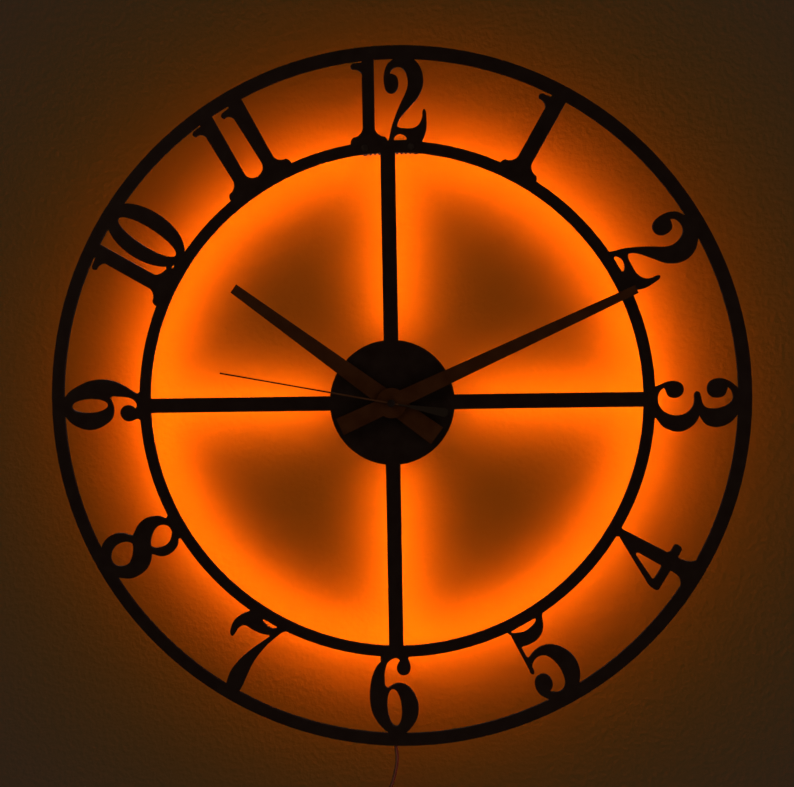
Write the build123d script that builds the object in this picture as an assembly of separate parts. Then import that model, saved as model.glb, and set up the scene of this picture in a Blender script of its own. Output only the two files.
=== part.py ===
from build123d import *
import os
from math import atan2, cos, degrees, dist, pi, radians, sin, sqrt, tan

# Backlit skeleton wall clock. Millimetres, +Z up, the dial faces -Y and the wall is the plane y = 0.
# The origin is the hang point, the middle notch of the saw-toothed hanger, taken to the wall.
# Lengths called back and front are distances from the wall, so a front is larger than its back.

# Dial plate, one sheet
DIAL_RADIUS = 300.0
RIM_WIDTH = 10.9
INNER_RING_RADIUS = 221.2
INNER_RING_WIDTH = 9.6
HUB_RADIUS = 53.6
SPOKE_WIDTH = 12.5
PLATE_T = 2.0
STAND_OFF = 35.0

# Hanger bracket, bent from one strip, and its rivets
HANG_DROP = 1.2
HANGER_T = 1.2
HANGER_WIDTH = 48.0
HANGER_HEIGHT = 9.0
HANGER_WALL_GAP = 2.0
TOOTH_DEPTH = 2.2
TOOTH_PITCH = 3.9
NOTCHES = 11
RIVET_SPACING = 39.0
RIVET_SHANK_D = 3.0
RIVET_HEAD_D = 5.6
RIVET_HEAD_T = 0.6
FOOT_TAB_MARGIN = 1.0

# Posts and rubber feet behind the hub
POST_D = 6.0
POST_INSET = 7.6
POST_DIRECTIONS_DEG = (135, 225, 315)
FOOT_D = 10.0
FOOT_T = 6.0
FOOT_SOCKET = 3.5

# Light strips, stuck to the back of the plate, and the light diodes on them
STRIP_T = 0.4
RING_STRIP_WIDTH = 6.0
RING_STRIP_GAP_DEG = 13.6
TOP_STRIP_DEG = 7.2
TOP_LEDS = 2
SPOKE_STRIP_WIDTH = 8.0
SPOKE_STRIP_MARGIN = 6.4
JUMPER_GAP = 13.4
LED_PITCH = 16.6
LED_LENGTH = 3.5
LED_WIDTH = 2.8
LED_T = 0.8
JUMPER_D = 1.6
HUB_JUMPER_INSET = 6.6
HUB_JUMPER_BEND = 6.0

# Movement housing
BUSH_D = 8.0
BUSH_LENGTH = 6.4
GASKET_T = 1.0
GASKET_D = 30.0
CASE_SIZE = 56.0
CASE_DEPTH = 16.0
CASE_WALL = 1.5
CASE_CORNER = 3.0
PARTITION_T = 1.2
BATTERY_D = 14.2
BATTERY_LENGTH = 49.0
BATTERY_NUB_D = 5.4
BATTERY_NUB_LENGTH = 1.4
BATTERY_CLEARANCE = 0.2
CONTACT_T = 0.4
CONTACT_WIDTH = 9.0
COVER_T = 1.5
WASHER_D = 14.0
WASHER_T = 0.6
NUT_ACROSS_FLATS = 11.0
NUT_T = 2.5
KNOB_D = 12.0
KNOB_T = 3.0
KNOB_RIBS = 18
KNOB_RIB_D = 1.0
KNOB_GAP = 0.5

# Fits
HOLE_CLEARANCE = 0.1
RUN_FIT = 0.05
PRESS_FIT = 0.02
LAYER_GAP = 0.4
PIVOT_DEPTH = 0.8

# Wheels: tooth counts, centre distances and thicknesses
ROTOR_TEETH = 8
INTERMEDIATE_TEETH = 40
INTERMEDIATE_PINION_TEETH = 8
SECONDS_TEETH = 48
SECONDS_PINION_TEETH = 8
THIRD_TEETH = 60
THIRD_PINION_TEETH = 8
DRIVE_TEETH = 64
CANNON_TEETH = 10
MINUTE_WORK_TEETH = 30
MINUTE_WORK_PINION_TEETH = 8
HOUR_TEETH = 32
ROTOR_DISTANCE = 8.4
INTERMEDIATE_DISTANCE = 9.8
THIRD_DISTANCE = 10.8
MINUTE_WORK_DISTANCE = 12.0
ROTOR_DIRECTION = 15.0
INTERMEDIATE_DIRECTION = 70.0
THIRD_DIRECTION = 150.0
MINUTE_WORK_DIRECTION = 0.0
WHEEL_T = 1.0
PINION_T = 1.5
HOUR_WHEEL_T = 1.2
CORNER_SHARE = 0.45
ADDENDUM_SHARE = 0.8
DEDENDUM_SHARE = 1.25
TOOTH_TIP_SHARE = 0.22
TOOTH_ROOT_SHARE = 0.58
SECONDS_ARBOR_D = 1.1
MINUTE_ARBOR_D = 3.2
HOUR_TUBE_D = 5.0
COVER_POST_D = 0.9
SETTING_ARBOR_D = 1.6

# Stepping motor and board
ROTOR_MAGNET_D = 5.6
ROTOR_MAGNET_T = 2.2
STATOR_GAP = 0.6
STATOR_T = 0.8
STATOR_WALL = 1.5
STATOR_LENGTH = 18.0
STATOR_LEG_WIDTH = 3.0
COIL_RISE = 10.6
COIL_D = 6.4
COIL_FLANGE_D = 7.4
COIL_FLANGE_T = 0.8
CORE_WIDTH = 2.6
BOARD_WIDTH = 17.0
BOARD_HEIGHT = 8.0
BOARD_T = 1.0
BOARD_MARGIN = 1.0

# Hands
HAND_T = 1.0
HAND_GAP = 1.4
HAND_BOSS_RADIUS = 12.8
HOUR_HAND_LENGTH = 167.0
HOUR_HAND_TAIL = 47.5
HOUR_HAND_TIP_WIDTH = 8.5
HOUR_HAND_TAIL_WIDTH = 17.4
HOUR_HAND_CLOCK_DEG = 306.7
MINUTE_HAND_LENGTH = 224.0
MINUTE_HAND_TAIL = 48.5
MINUTE_HAND_TIP_WIDTH = 7.0
MINUTE_HAND_TAIL_WIDTH = 15.2
MINUTE_HAND_CLOCK_DEG = 65.9
SECOND_HAND_LENGTH = 149.0
SECOND_HAND_WIDTH = 1.3
SECOND_HAND_T = 0.5
SECOND_HAND_NECK = 16.0
SECOND_HAND_TAIL = 48.5
SECOND_HAND_PADDLE_WIDTH = 7.4
SECOND_HAND_NECK_WIDTH = 2.6
SECOND_HAND_CLOCK_DEG = 280.7
SECOND_BUSH_D = 6.5
SECOND_BUSH_T = 1.4
SECOND_BUSH_EDGE = 0.3

# Power lead, its clip, its coil with a tie, and its plug
LEAD_D = 3.0
CLIP_WIDTH = 9.0
CLIP_HEIGHT = 7.0
CLIP_WALL = 1.2
COIL_INNER_RADIUS = 13.0
COIL_PITCH = 4.0
COIL_PASS_TURNS = 2.375
COIL_END_TURNS = 0.5
COIL_PASSES = 4
COIL_WALL_GAP = 1.7
TIE_WIDTH = 7.0
TIE_T = 1.2
TIE_CLEARANCE = 0.3
PLUG_BODY_D = 9.6
PLUG_BODY_LENGTH = 26.0
PLUG_NECK_D = 5.0
PLUG_EDGE = 1.2
PLUG_BARREL_D = 5.5
PLUG_BARREL_BORE = 2.1
PLUG_BARREL_LENGTH = 9.5
PLUG_LEAD_RUN = 9.0
CLIP_ACROSS = -2.4
LEAD_SIDE = 19.1
LEAD_DROP = 92.4

# Values that follow from the sizes above
HANG_RADIUS = INNER_RING_RADIUS - HANG_DROP
ARBOR_Z = -HANG_RADIUS
BAND_OUTER = DIAL_RADIUS - RIM_WIDTH
FIGURE_HEIGHT = BAND_OUTER - INNER_RING_RADIUS
RING_MIDDLE = INNER_RING_RADIUS - INNER_RING_WIDTH / 2
RING_STRIP_INNER = RING_MIDDLE - RING_STRIP_WIDTH / 2
POST_RADIUS = HUB_RADIUS - POST_INSET
SPOKE_STRIP_START = HUB_RADIUS + SPOKE_STRIP_MARGIN
SPOKE_STRIP_END = RING_STRIP_INNER - JUMPER_GAP
SPOKE_STRIP_LENGTH = SPOKE_STRIP_END - SPOKE_STRIP_START
HUB_JUMPER_RADIUS = HUB_RADIUS - HUB_JUMPER_INSET
PLATE_FRONT = STAND_OFF + PLATE_T
CASE_FRONT = STAND_OFF - GASKET_T
CASE_BACK = CASE_FRONT - CASE_DEPTH
CHAMBER_FRONT = CASE_FRONT - CASE_WALL
CASE_INNER = CASE_SIZE / 2 - CASE_WALL
BAY_TOP = -CASE_INNER + BATTERY_D + 2 * BATTERY_CLEARANCE
CHAMBER_FLOOR = BAY_TOP + PARTITION_T
BUSH_FRONT = CASE_FRONT + BUSH_LENGTH
COVER_BACK = CASE_BACK - COVER_T
WASHER_FRONT = PLATE_FRONT + WASHER_T
NUT_FRONT = WASHER_FRONT + NUT_T
HOUR_HAND_BACK = BUSH_FRONT + LAYER_GAP
HOUR_HAND_FRONT = HOUR_HAND_BACK + HAND_T
MINUTE_HAND_BACK = HOUR_HAND_FRONT + HAND_GAP
MINUTE_HAND_FRONT = MINUTE_HAND_BACK + HAND_T
SECOND_HAND_BACK = MINUTE_HAND_FRONT + HAND_GAP
SECOND_HAND_FRONT = SECOND_HAND_BACK + SECOND_HAND_T
HOUR_WHEEL_FRONT = CHAMBER_FRONT - LAYER_GAP
HOUR_WHEEL_BACK = HOUR_WHEEL_FRONT - HOUR_WHEEL_T
CANNON_FRONT = HOUR_WHEEL_BACK - LAYER_GAP
CANNON_BACK = CANNON_FRONT - PINION_T
DRIVE_FRONT = CANNON_BACK - LAYER_GAP
DRIVE_BACK = DRIVE_FRONT - WHEEL_T
THIRD_FRONT = DRIVE_BACK - LAYER_GAP - (PINION_T - WHEEL_T) / 2
THIRD_BACK = THIRD_FRONT - WHEEL_T
SECONDS_FRONT = THIRD_BACK - LAYER_GAP - (PINION_T - WHEEL_T) / 2
SECONDS_BACK = SECONDS_FRONT - WHEEL_T
INTERMEDIATE_FRONT = SECONDS_BACK - LAYER_GAP - (PINION_T - WHEEL_T) / 2
INTERMEDIATE_BACK = INTERMEDIATE_FRONT - WHEEL_T
LEAD_STAND = STAND_OFF - STRIP_T - LEAD_D / 2
COIL_STAND = COIL_WALL_GAP + LEAD_D / 2


def polar(distance, direction, origin=(0, 0)):
    """Point on the dial face, across and up, at a distance and a direction counted from +X."""
    angle = radians(direction)
    return origin[0] + distance * cos(angle), origin[1] + distance * sin(angle)


MINUTE_WORK_AXIS = polar(MINUTE_WORK_DISTANCE, MINUTE_WORK_DIRECTION)
THIRD_AXIS = polar(THIRD_DISTANCE, THIRD_DIRECTION)
INTERMEDIATE_AXIS = polar(INTERMEDIATE_DISTANCE, INTERMEDIATE_DIRECTION)
ROTOR_AXIS = polar(ROTOR_DISTANCE, ROTOR_DIRECTION, INTERMEDIATE_AXIS)

# Numeral outlines as shares of the band between the rings: across, and up from the ring below the figure.
# A row is one stretch of the outline, drawn from the end of the row before it: a line to a single point,
# a curve through several. The last row ends where the first begins.
ONE_FOOT_REACH_SHARE = 0.155
ONE_FLAG_REACH_SHARE = 0.14
ONE_STEM_SHARES = (-0.113, 0.077)
TEN_STEM_SHARES = (-0.24, -0.055)
ELEVEN_LEFT_SHARES = (-0.285, -0.115, 0.02)
ELEVEN_RIGHT_SHARES = (0.143, 0.308, 0.03)
TWELVE_STEM_SHARES = (-0.305, -0.155)
TWELVE_TWO_SHARES = (0.784, 0.185)

TWO_SHARES = [
    [(-0.10, 1.06)],
    [(-0.13, 0.99), (-0.20, 0.945), (-0.255, 0.87), (-0.28, 0.77), (-0.273, 0.68), (-0.235, 0.605),
     (-0.16, 0.577), (-0.09, 0.605), (-0.052, 0.67), (-0.053, 0.735), (-0.08, 0.785), (-0.13, 0.808),
     (-0.18, 0.817)],
    [(-0.155, 0.865), (-0.10, 0.893), (-0.03, 0.898), (0.035, 0.868), (0.082, 0.80), (0.10, 0.715),
     (0.088, 0.63), (0.045, 0.545), (-0.025, 0.44), (-0.10, 0.305), (-0.175, 0.14), (-0.20, 0.05),
     (-0.235, -0.03)],
    [(-0.24, -0.08)],
    [(0.31, -0.08)],
    [(0.315, -0.02)],
    [(0.355, 0.05), (0.38, 0.12), (0.39, 0.20), (0.386, 0.28), (0.376, 0.345), (0.35, 0.371),
     (0.327, 0.345), (0.321, 0.29), (0.30, 0.23), (0.26, 0.18), (0.20, 0.15), (0.13, 0.14),
     (0.04, 0.145), (-0.05, 0.156), (-0.08, 0.18)],
    [(-0.065, 0.225), (-0.02, 0.285), (0.06, 0.355), (0.15, 0.425), (0.24, 0.50), (0.30, 0.58),
     (0.335, 0.655), (0.345, 0.735), (0.333, 0.81), (0.298, 0.885), (0.245, 0.945), (0.185, 0.99)],
    [(0.20, 1.06)],
]
TWO_EYE_SHARES = [
    [(-0.135, 0.018), (-0.115, 0.052), (-0.04, 0.08), (0.035, 0.058), (0.07, 0.018), (0.062, 0.0)],
    [(-0.125, 0.0)],
]

THREE_SHARES = [
    [(-0.10, 1.06)],
    [(-0.13, 0.99), (-0.17, 0.945), (-0.22, 0.875), (-0.245, 0.80), (-0.24, 0.72), (-0.20, 0.65),
     (-0.12, 0.625), (-0.05, 0.645), (-0.012, 0.70), (-0.01, 0.77), (-0.03, 0.82), (-0.08, 0.853),
     (-0.14, 0.866)],
    [(-0.115, 0.90), (-0.06, 0.93), (0.0, 0.934), (0.058, 0.90), (0.10, 0.83), (0.124, 0.735),
     (0.12, 0.645), (0.09, 0.587), (0.03, 0.56), (-0.04, 0.545), (-0.078, 0.528), (-0.09, 0.505),
     (-0.075, 0.48), (-0.03, 0.468), (0.04, 0.468), (0.11, 0.443), (0.165, 0.39), (0.20, 0.31),
     (0.205, 0.24), (0.19, 0.17), (0.15, 0.10), (0.09, 0.05), (0.01, 0.028), (-0.06, 0.037),
     (-0.11, 0.067), (-0.135, 0.10)],
    [(-0.115, 0.122), (-0.06, 0.14), (-0.02, 0.18), (-0.01, 0.23), (-0.028, 0.29), (-0.07, 0.33),
     (-0.12, 0.34), (-0.18, 0.318), (-0.215, 0.26), (-0.22, 0.19), (-0.20, 0.11), (-0.175, 0.055),
     (-0.155, 0.005)],
    [(-0.15, -0.08)],
    [(0.24, -0.08)],
    [(0.235, 0.005)],
    [(0.28, 0.04), (0.34, 0.09), (0.39, 0.18), (0.406, 0.285), (0.375, 0.39), (0.325, 0.457),
     (0.265, 0.503), (0.20, 0.53)],
    [(0.26, 0.562), (0.31, 0.60), (0.345, 0.67), (0.352, 0.76), (0.322, 0.86), (0.262, 0.94),
     (0.195, 0.99)],
    [(0.17, 1.06)],
]

FOUR_SHARES = [
    [(-0.10, 1.06)],
    [(-0.09, 1.0), (-0.078, 0.965)],
    [(-0.395, 0.405)],
    [(-0.424, 0.35), (-0.436, 0.28), (-0.43, 0.235), (-0.41, 0.218)],
    [(-0.135, 0.215)],
    [(-0.14, 0.125), (-0.165, 0.06), (-0.21, 0.022), (-0.26, 0.002)],
    [(-0.26, -0.08)],
    [(0.14, -0.08)],
    [(0.13, 0.0)],
    [(0.09, 0.05), (0.062, 0.125), (0.055, 0.22)],
    [(0.155, 0.223)],
    [(0.182, 0.243), (0.192, 0.285), (0.182, 0.318), (0.155, 0.33)],
    [(0.075, 0.33)],
    [(0.045, 0.36)],
    [(0.026, 0.96)],
    [(0.045, 1.06)],
]
FOUR_COUNTER_SHARES = [
    [(-0.135, 0.66)],
    [(-0.15, 0.686), (-0.178, 0.668)],
    [(-0.332, 0.358)],
    [(-0.328, 0.338), (-0.305, 0.33)],
    [(-0.155, 0.33)],
    [(-0.14, 0.337), (-0.135, 0.352)],
]

FIVE_SHARES = [
    [(-0.25, 1.06)],
    [(-0.245, 1.01), (-0.226, 0.96)],
    [(-0.25, 0.45)],
    [(-0.252, 0.41), (-0.23, 0.388), (-0.208, 0.405), (-0.195, 0.475), (-0.155, 0.523), (-0.10, 0.55),
     (-0.04, 0.554), (0.02, 0.527), (0.065, 0.46), (0.09, 0.38), (0.10, 0.30), (0.095, 0.22),
     (0.078, 0.14), (0.045, 0.078), (-0.005, 0.042), (-0.06, 0.036), (-0.115, 0.057), (-0.165, 0.096)],
    [(-0.125, 0.117), (-0.088, 0.155), (-0.068, 0.21), (-0.072, 0.265), (-0.105, 0.318),
     (-0.17, 0.343), (-0.24, 0.32), (-0.285, 0.26), (-0.30, 0.185), (-0.285, 0.11), (-0.25, 0.05),
     (-0.215, 0.005)],
    [(-0.21, -0.08)],
    [(0.21, -0.08)],
    [(0.21, 0.005)],
    [(0.25, 0.06), (0.298, 0.14), (0.325, 0.24), (0.323, 0.34), (0.293, 0.445), (0.235, 0.538),
     (0.15, 0.612), (0.06, 0.645), (-0.02, 0.648), (-0.10, 0.63), (-0.158, 0.603)],
    [(-0.186, 0.607), (-0.193, 0.63)],
    [(-0.19, 0.735)],
    [(-0.18, 0.76), (-0.14, 0.756), (-0.06, 0.745), (0.03, 0.749), (0.10, 0.775), (0.16, 0.823),
     (0.208, 0.895), (0.235, 0.965), (0.265, 1.01)],
    [(0.28, 1.06)],
]
FIVE_EYE_SHARES = [
    [(-0.20, 0.985), (-0.13, 0.938), (-0.03, 0.914), (0.07, 0.928), (0.145, 0.968), (0.155, 0.988)],
    [(0.145, 1.0)],
    [(-0.19, 1.0)],
]

SIX_SHARES = [
    [(-0.20, 1.06)],
    [(-0.19, 1.0), (-0.182, 0.965), (-0.22, 0.915), (-0.275, 0.84), (-0.32, 0.73), (-0.345, 0.60),
     (-0.352, 0.48), (-0.343, 0.36), (-0.31, 0.24), (-0.25, 0.14), (-0.18, 0.06), (-0.12, 0.015)],
    [(-0.12, -0.08)],
    [(0.10, -0.08)],
    [(0.10, 0.005)],
    [(0.16, 0.06), (0.22, 0.14), (0.263, 0.24), (0.275, 0.34), (0.255, 0.45), (0.20, 0.557),
     (0.13, 0.628), (0.06, 0.655), (0.0, 0.654), (-0.06, 0.63), (-0.12, 0.592)],
    [(-0.144, 0.61), (-0.158, 0.68), (-0.156, 0.77), (-0.14, 0.86), (-0.11, 0.928), (-0.06, 0.97),
     (-0.01, 0.984), (0.028, 0.972), (0.042, 0.948)],
    [(0.017, 0.91), (0.003, 0.865), (0.012, 0.81), (0.045, 0.775), (0.09, 0.764), (0.14, 0.778),
     (0.17, 0.82), (0.178, 0.87), (0.165, 0.925), (0.15, 0.975), (0.165, 1.01)],
    [(0.18, 1.06)],
]
SIX_COUNTER_SHARES = (-0.035, 0.338, 0.093, 0.246)
SIX_COUNTER_LEAN = 4.0

SEVEN_SHARES = [
    [(-0.30, 1.06)],
    [(-0.315, 0.985), (-0.375, 0.905), (-0.41, 0.83), (-0.42, 0.745), (-0.405, 0.665), (-0.377, 0.612),
     (-0.345, 0.60), (-0.33, 0.63), (-0.326, 0.70), (-0.308, 0.765), (-0.275, 0.80), (-0.235, 0.81)],
    [(-0.16, 0.807), (-0.06, 0.814), (0.02, 0.834), (0.065, 0.852)],
    [(0.08, 0.842), (0.074, 0.815)],
    [(0.02, 0.705), (-0.03, 0.60), (-0.08, 0.48), (-0.115, 0.37), (-0.135, 0.27), (-0.142, 0.17),
     (-0.13, 0.08), (-0.115, 0.005)],
    [(-0.11, -0.08)],
    [(0.09, -0.08)],
    [(0.085, 0.005)],
    [(0.078, 0.17), (0.063, 0.34), (0.066, 0.50), (0.09, 0.65), (0.13, 0.80), (0.178, 0.92),
     (0.212, 0.985), (0.25, 1.012)],
    [(0.27, 1.06)],
]
SEVEN_EYE_SHARES = [
    [(-0.10, 0.988), (-0.05, 0.956), (0.015, 0.943), (0.075, 0.954), (0.113, 0.985)],
    [(0.10, 1.0)],
    [(-0.085, 1.0)],
]

EIGHT_SHARES = [
    [(-0.25, 1.06)],
    [(-0.235, 1.005), (-0.22, 0.972), (-0.268, 0.92), (-0.32, 0.845), (-0.35, 0.75), (-0.345, 0.66),
     (-0.32, 0.588), (-0.28, 0.525), (-0.243, 0.47)],
    [(-0.262, 0.443), (-0.31, 0.40), (-0.356, 0.34), (-0.39, 0.25), (-0.388, 0.16), (-0.36, 0.08),
     (-0.315, 0.02)],
    [(-0.31, -0.08)],
    [(0.13, -0.08)],
    [(0.135, 0.02)],
    [(0.18, 0.08), (0.225, 0.16), (0.242, 0.26), (0.235, 0.35), (0.20, 0.44), (0.15, 0.504),
     (0.084, 0.56)],
    [(0.12, 0.595), (0.165, 0.64), (0.196, 0.70), (0.206, 0.785), (0.183, 0.87), (0.14, 0.93),
     (0.095, 0.97), (0.105, 1.005)],
    [(0.12, 1.06)],
]
EIGHT_UPPER_SHARES = [
    [(-0.13, 0.931), (-0.168, 0.88), (-0.18, 0.81), (-0.16, 0.745), (-0.12, 0.685), (-0.06, 0.63),
     (-0.008, 0.603)],
    [(0.032, 0.627), (0.065, 0.69), (0.08, 0.77), (0.066, 0.845), (0.028, 0.90), (-0.02, 0.94),
     (-0.07, 0.95)],
]
EIGHT_LOWER_SHARES = [
    [(-0.20, 0.38), (-0.235, 0.31), (-0.247, 0.23), (-0.23, 0.155), (-0.19, 0.095), (-0.135, 0.058),
     (-0.08, 0.045), (-0.03, 0.062), (0.015, 0.11), (0.04, 0.185), (0.034, 0.25)],
    [(-0.008, 0.308), (-0.07, 0.365), (-0.12, 0.397), (-0.155, 0.41)],
]

NINE_SHARES = [
    [(-0.10, 1.06)],
    [(-0.125, 0.99), (-0.18, 0.945), (-0.24, 0.87), (-0.285, 0.77), (-0.304, 0.66), (-0.285, 0.56),
     (-0.23, 0.45), (-0.16, 0.375), (-0.09, 0.348), (-0.02, 0.344), (0.04, 0.36), (0.105, 0.39)],
    [(0.124, 0.375), (0.128, 0.30), (0.12, 0.20), (0.103, 0.12), (0.07, 0.067), (0.02, 0.038),
     (-0.012, 0.043), (-0.035, 0.066)],
    [(-0.008, 0.09), (0.011, 0.135), (0.008, 0.185), (-0.024, 0.233), (-0.08, 0.255), (-0.142, 0.238),
     (-0.185, 0.19), (-0.195, 0.13), (-0.18, 0.08), (-0.165, 0.04), (-0.18, 0.0)],
    [(-0.20, -0.08)],
    [(0.20, -0.08)],
    [(0.18, 0.0)],
    [(0.16, 0.03), (0.175, 0.065), (0.22, 0.13), (0.29, 0.25), (0.335, 0.37), (0.351, 0.50),
     (0.34, 0.62), (0.30, 0.74), (0.24, 0.86), (0.18, 0.94), (0.115, 0.99)],
    [(0.10, 1.06)],
]
NINE_COUNTER_SHARES = (0.01, 0.66, 0.09, 0.242)
NINE_COUNTER_LEAN = 2.0

NOUGHT_SHARES = (0.33, 0.53, 0.316, 0.562)
NOUGHT_COUNTER_SHARES = (0.32, 0.50, 0.115, 0.442)
NOUGHT_LEAN = -3.3
TEN_WEB_SHARES = [
    [(-0.10, -0.05)],
    [(0.20, -0.05)],
    [(0.20, 0.12)],
    [(0.12, 0.118)],
    [(0.105, 0.099), (0.089, 0.087), (0.062, 0.091), (0.01, 0.115), (-0.036, 0.155), (-0.055, 0.21)],
    [(-0.10, 0.21)],
]
TEN_EYE_SHARES = (0.150, 0.026, 0.031, 0.016)
TEN_EYE_LEAN = -12.0

# The lead behind the 6, in the 6's own shares, and from the clip down to the coil, as shares of its way
# to the left, to the wall and down.
LEAD_INNER_SHARES = [
    (-0.200, 1.070), (-0.178, 0.930), (-0.214, 0.755), (-0.244, 0.575), (-0.243, 0.400), (-0.212, 0.275),
    (-0.144, 0.160), (-0.068, 0.072),
]
LEAD_FREE_SHARES = [
    (0, 0, 0), (0, 0, 0.070), (-0.078, 0.036, 0.189), (0, 0.186, 0.308), (0.115, 0.408, 0.432),
    (0.270, 0.625, 0.562), (0.513, 0.812, 0.689), (0.817, 0.946, 0.812), (1, 1, 0.931), (1, 1, 1),
]


def front_plane(back):
    """Drawing plane that faces the viewer, with its origin on the arbor."""
    return Plane((0, -back, ARBOR_Z), x_dir=(1, 0, 0), z_dir=(0, -1, 0))


def slab(sketch, back, front):
    """Flat piece of a sketch between two distances from the wall."""
    return extrude(front_plane(back) * sketch, amount=front - back)


def disc(diameter, back, front, axis=(0, 0)):
    """Round piece along the arbor's direction."""
    return slab(Pos(*axis) * Circle(diameter / 2), back, front)


def place(point):
    """Point in space from across, distance from the wall and height from the arbor."""
    return Vector(point[0], -point[1], point[2] + ARBOR_Z)


def clock_turn(hour):
    """Turn on the dial face to an hour, clockwise from the top."""
    return Rot(0, 0, -30 * hour)


def outline(rows, squeeze_share=1, shift_share=0):
    """Face inside a closed outline that is given as shares of the figure's height."""
    height = FIGURE_HEIGHT
    pens = [[((x * squeeze_share + shift_share) * height, y * height) for x, y in row] for row in rows]
    pen = pens[-1][-1]
    edges = []
    for row in pens:
        points = [pen, *row]
        edges.append(Line(points) if len(points) == 2 else Spline(points))
        pen = row[-1]
    return make_face(edges)


def oval(shares, lean):
    """Leaning ellipse from the shares of its middle and half axes."""
    x, y, half_width, half_height = [share * FIGURE_HEIGHT for share in shares]
    return Pos(x, y) * Rot(0, 0, lean) * Ellipse(half_width, half_height)


def one(left_share, right_share, lean_share=0):
    """Upright of a 1 with its flag beside the rim and its bracketed foot on the inner ring."""
    foot_left = left_share - ONE_FOOT_REACH_SHARE
    foot_right = right_share + ONE_FOOT_REACH_SHARE
    flag = left_share - ONE_FLAG_REACH_SHARE
    rows_shares = [
        [(left_share - lean_share / 2, 0.78)],
        [(left_share - lean_share / 2 - 0.012, 0.845), (left_share - 0.05, 0.876), (flag + 0.02, 0.888)],
        [(flag, 0.922), (flag + 0.035, 0.957)],
        [(left_share, 0.966)],
        [(left_share, 1.07)],
        [(right_share + lean_share, 1.07)],
        [(right_share, 0.17)],
        [(right_share + 0.022, 0.105), (right_share + 0.06, 0.07), (foot_right - 0.035, 0.05)],
        [(foot_right - 0.012, 0.025), (foot_right, -0.025)],
        [(foot_right, -0.09)],
        [(foot_left, -0.09)],
        [(foot_left, -0.025)],
        [(foot_left + 0.012, 0.025), (foot_left + 0.035, 0.05)],
        [(left_share - 0.06, 0.07), (left_share - 0.022, 0.105), (left_share, 0.17)],
    ]
    return outline(rows_shares)


def two(squeeze_share=1, shift_share=0):
    """A 2 whose base leaves a lens-shaped eye above the inner ring."""
    eye = outline(TWO_EYE_SHARES, squeeze_share, shift_share)
    return outline(TWO_SHARES, squeeze_share, shift_share) - eye


def ten():
    """A 1 and a narrow nought, joined at their feet by a web with a small eye."""
    nought = oval(NOUGHT_SHARES, NOUGHT_LEAN) - oval(NOUGHT_COUNTER_SHARES, NOUGHT_LEAN)
    return one(*TEN_STEM_SHARES) + outline(TEN_WEB_SHARES) + nought - oval(TEN_EYE_SHARES, TEN_EYE_LEAN)


def figure(hour):
    """Numeral of an hour, upright, its lower ring at height zero."""
    figures = {
        1: lambda: one(*ONE_STEM_SHARES),
        2: lambda: two(),
        3: lambda: outline(THREE_SHARES),
        4: lambda: outline(FOUR_SHARES) - outline(FOUR_COUNTER_SHARES),
        5: lambda: outline(FIVE_SHARES) - outline(FIVE_EYE_SHARES),
        6: lambda: outline(SIX_SHARES) - oval(SIX_COUNTER_SHARES, SIX_COUNTER_LEAN),
        7: lambda: outline(SEVEN_SHARES) - outline(SEVEN_EYE_SHARES),
        8: lambda: outline(EIGHT_SHARES) - outline(EIGHT_UPPER_SHARES) - outline(EIGHT_LOWER_SHARES),
        9: lambda: outline(NINE_SHARES) - oval(NINE_COUNTER_SHARES, NINE_COUNTER_LEAN),
        10: ten,
        11: lambda: one(*ELEVEN_LEFT_SHARES) + one(*ELEVEN_RIGHT_SHARES),
        12: lambda: one(*TWELVE_STEM_SHARES) + two(*TWELVE_TWO_SHARES),
    }
    return figures[hour]()


def figure_on_dial(hour):
    """Numeral turned to its place: the lower five read from the outside in."""
    if 4 <= hour <= 8:
        return clock_turn(hour) * Pos(0, BAND_OUTER) * Rot(0, 0, 180) * figure(hour)
    return clock_turn(hour) * Pos(0, INNER_RING_RADIUS) * figure(hour)


def rivet_axis(side):
    """Place of a hanger rivet, in the middle of the inner ring."""
    across = side * RIVET_SPACING / 2
    return across, sqrt(RING_MIDDLE**2 - across**2)


def dial_plate():
    """Rim, inner ring, spokes, hub and numerals in one sheet."""
    face = Circle(DIAL_RADIUS) - Circle(BAND_OUTER)
    face += Circle(INNER_RING_RADIUS) - Circle(INNER_RING_RADIUS - INNER_RING_WIDTH)
    face += Rectangle(SPOKE_WIDTH, 2 * RING_MIDDLE)
    face += Rectangle(2 * RING_MIDDLE, SPOKE_WIDTH)
    face += Circle(HUB_RADIUS)
    for hour in range(1, 13):
        face += figure_on_dial(hour)
    face -= Circle(BUSH_D / 2 + HOLE_CLEARANCE)
    for side in (-1, 1):
        face -= Pos(*rivet_axis(side)) * Circle(RIVET_SHANK_D / 2 + PRESS_FIT)
    return slab(face, STAND_OFF, PLATE_FRONT)


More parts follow.
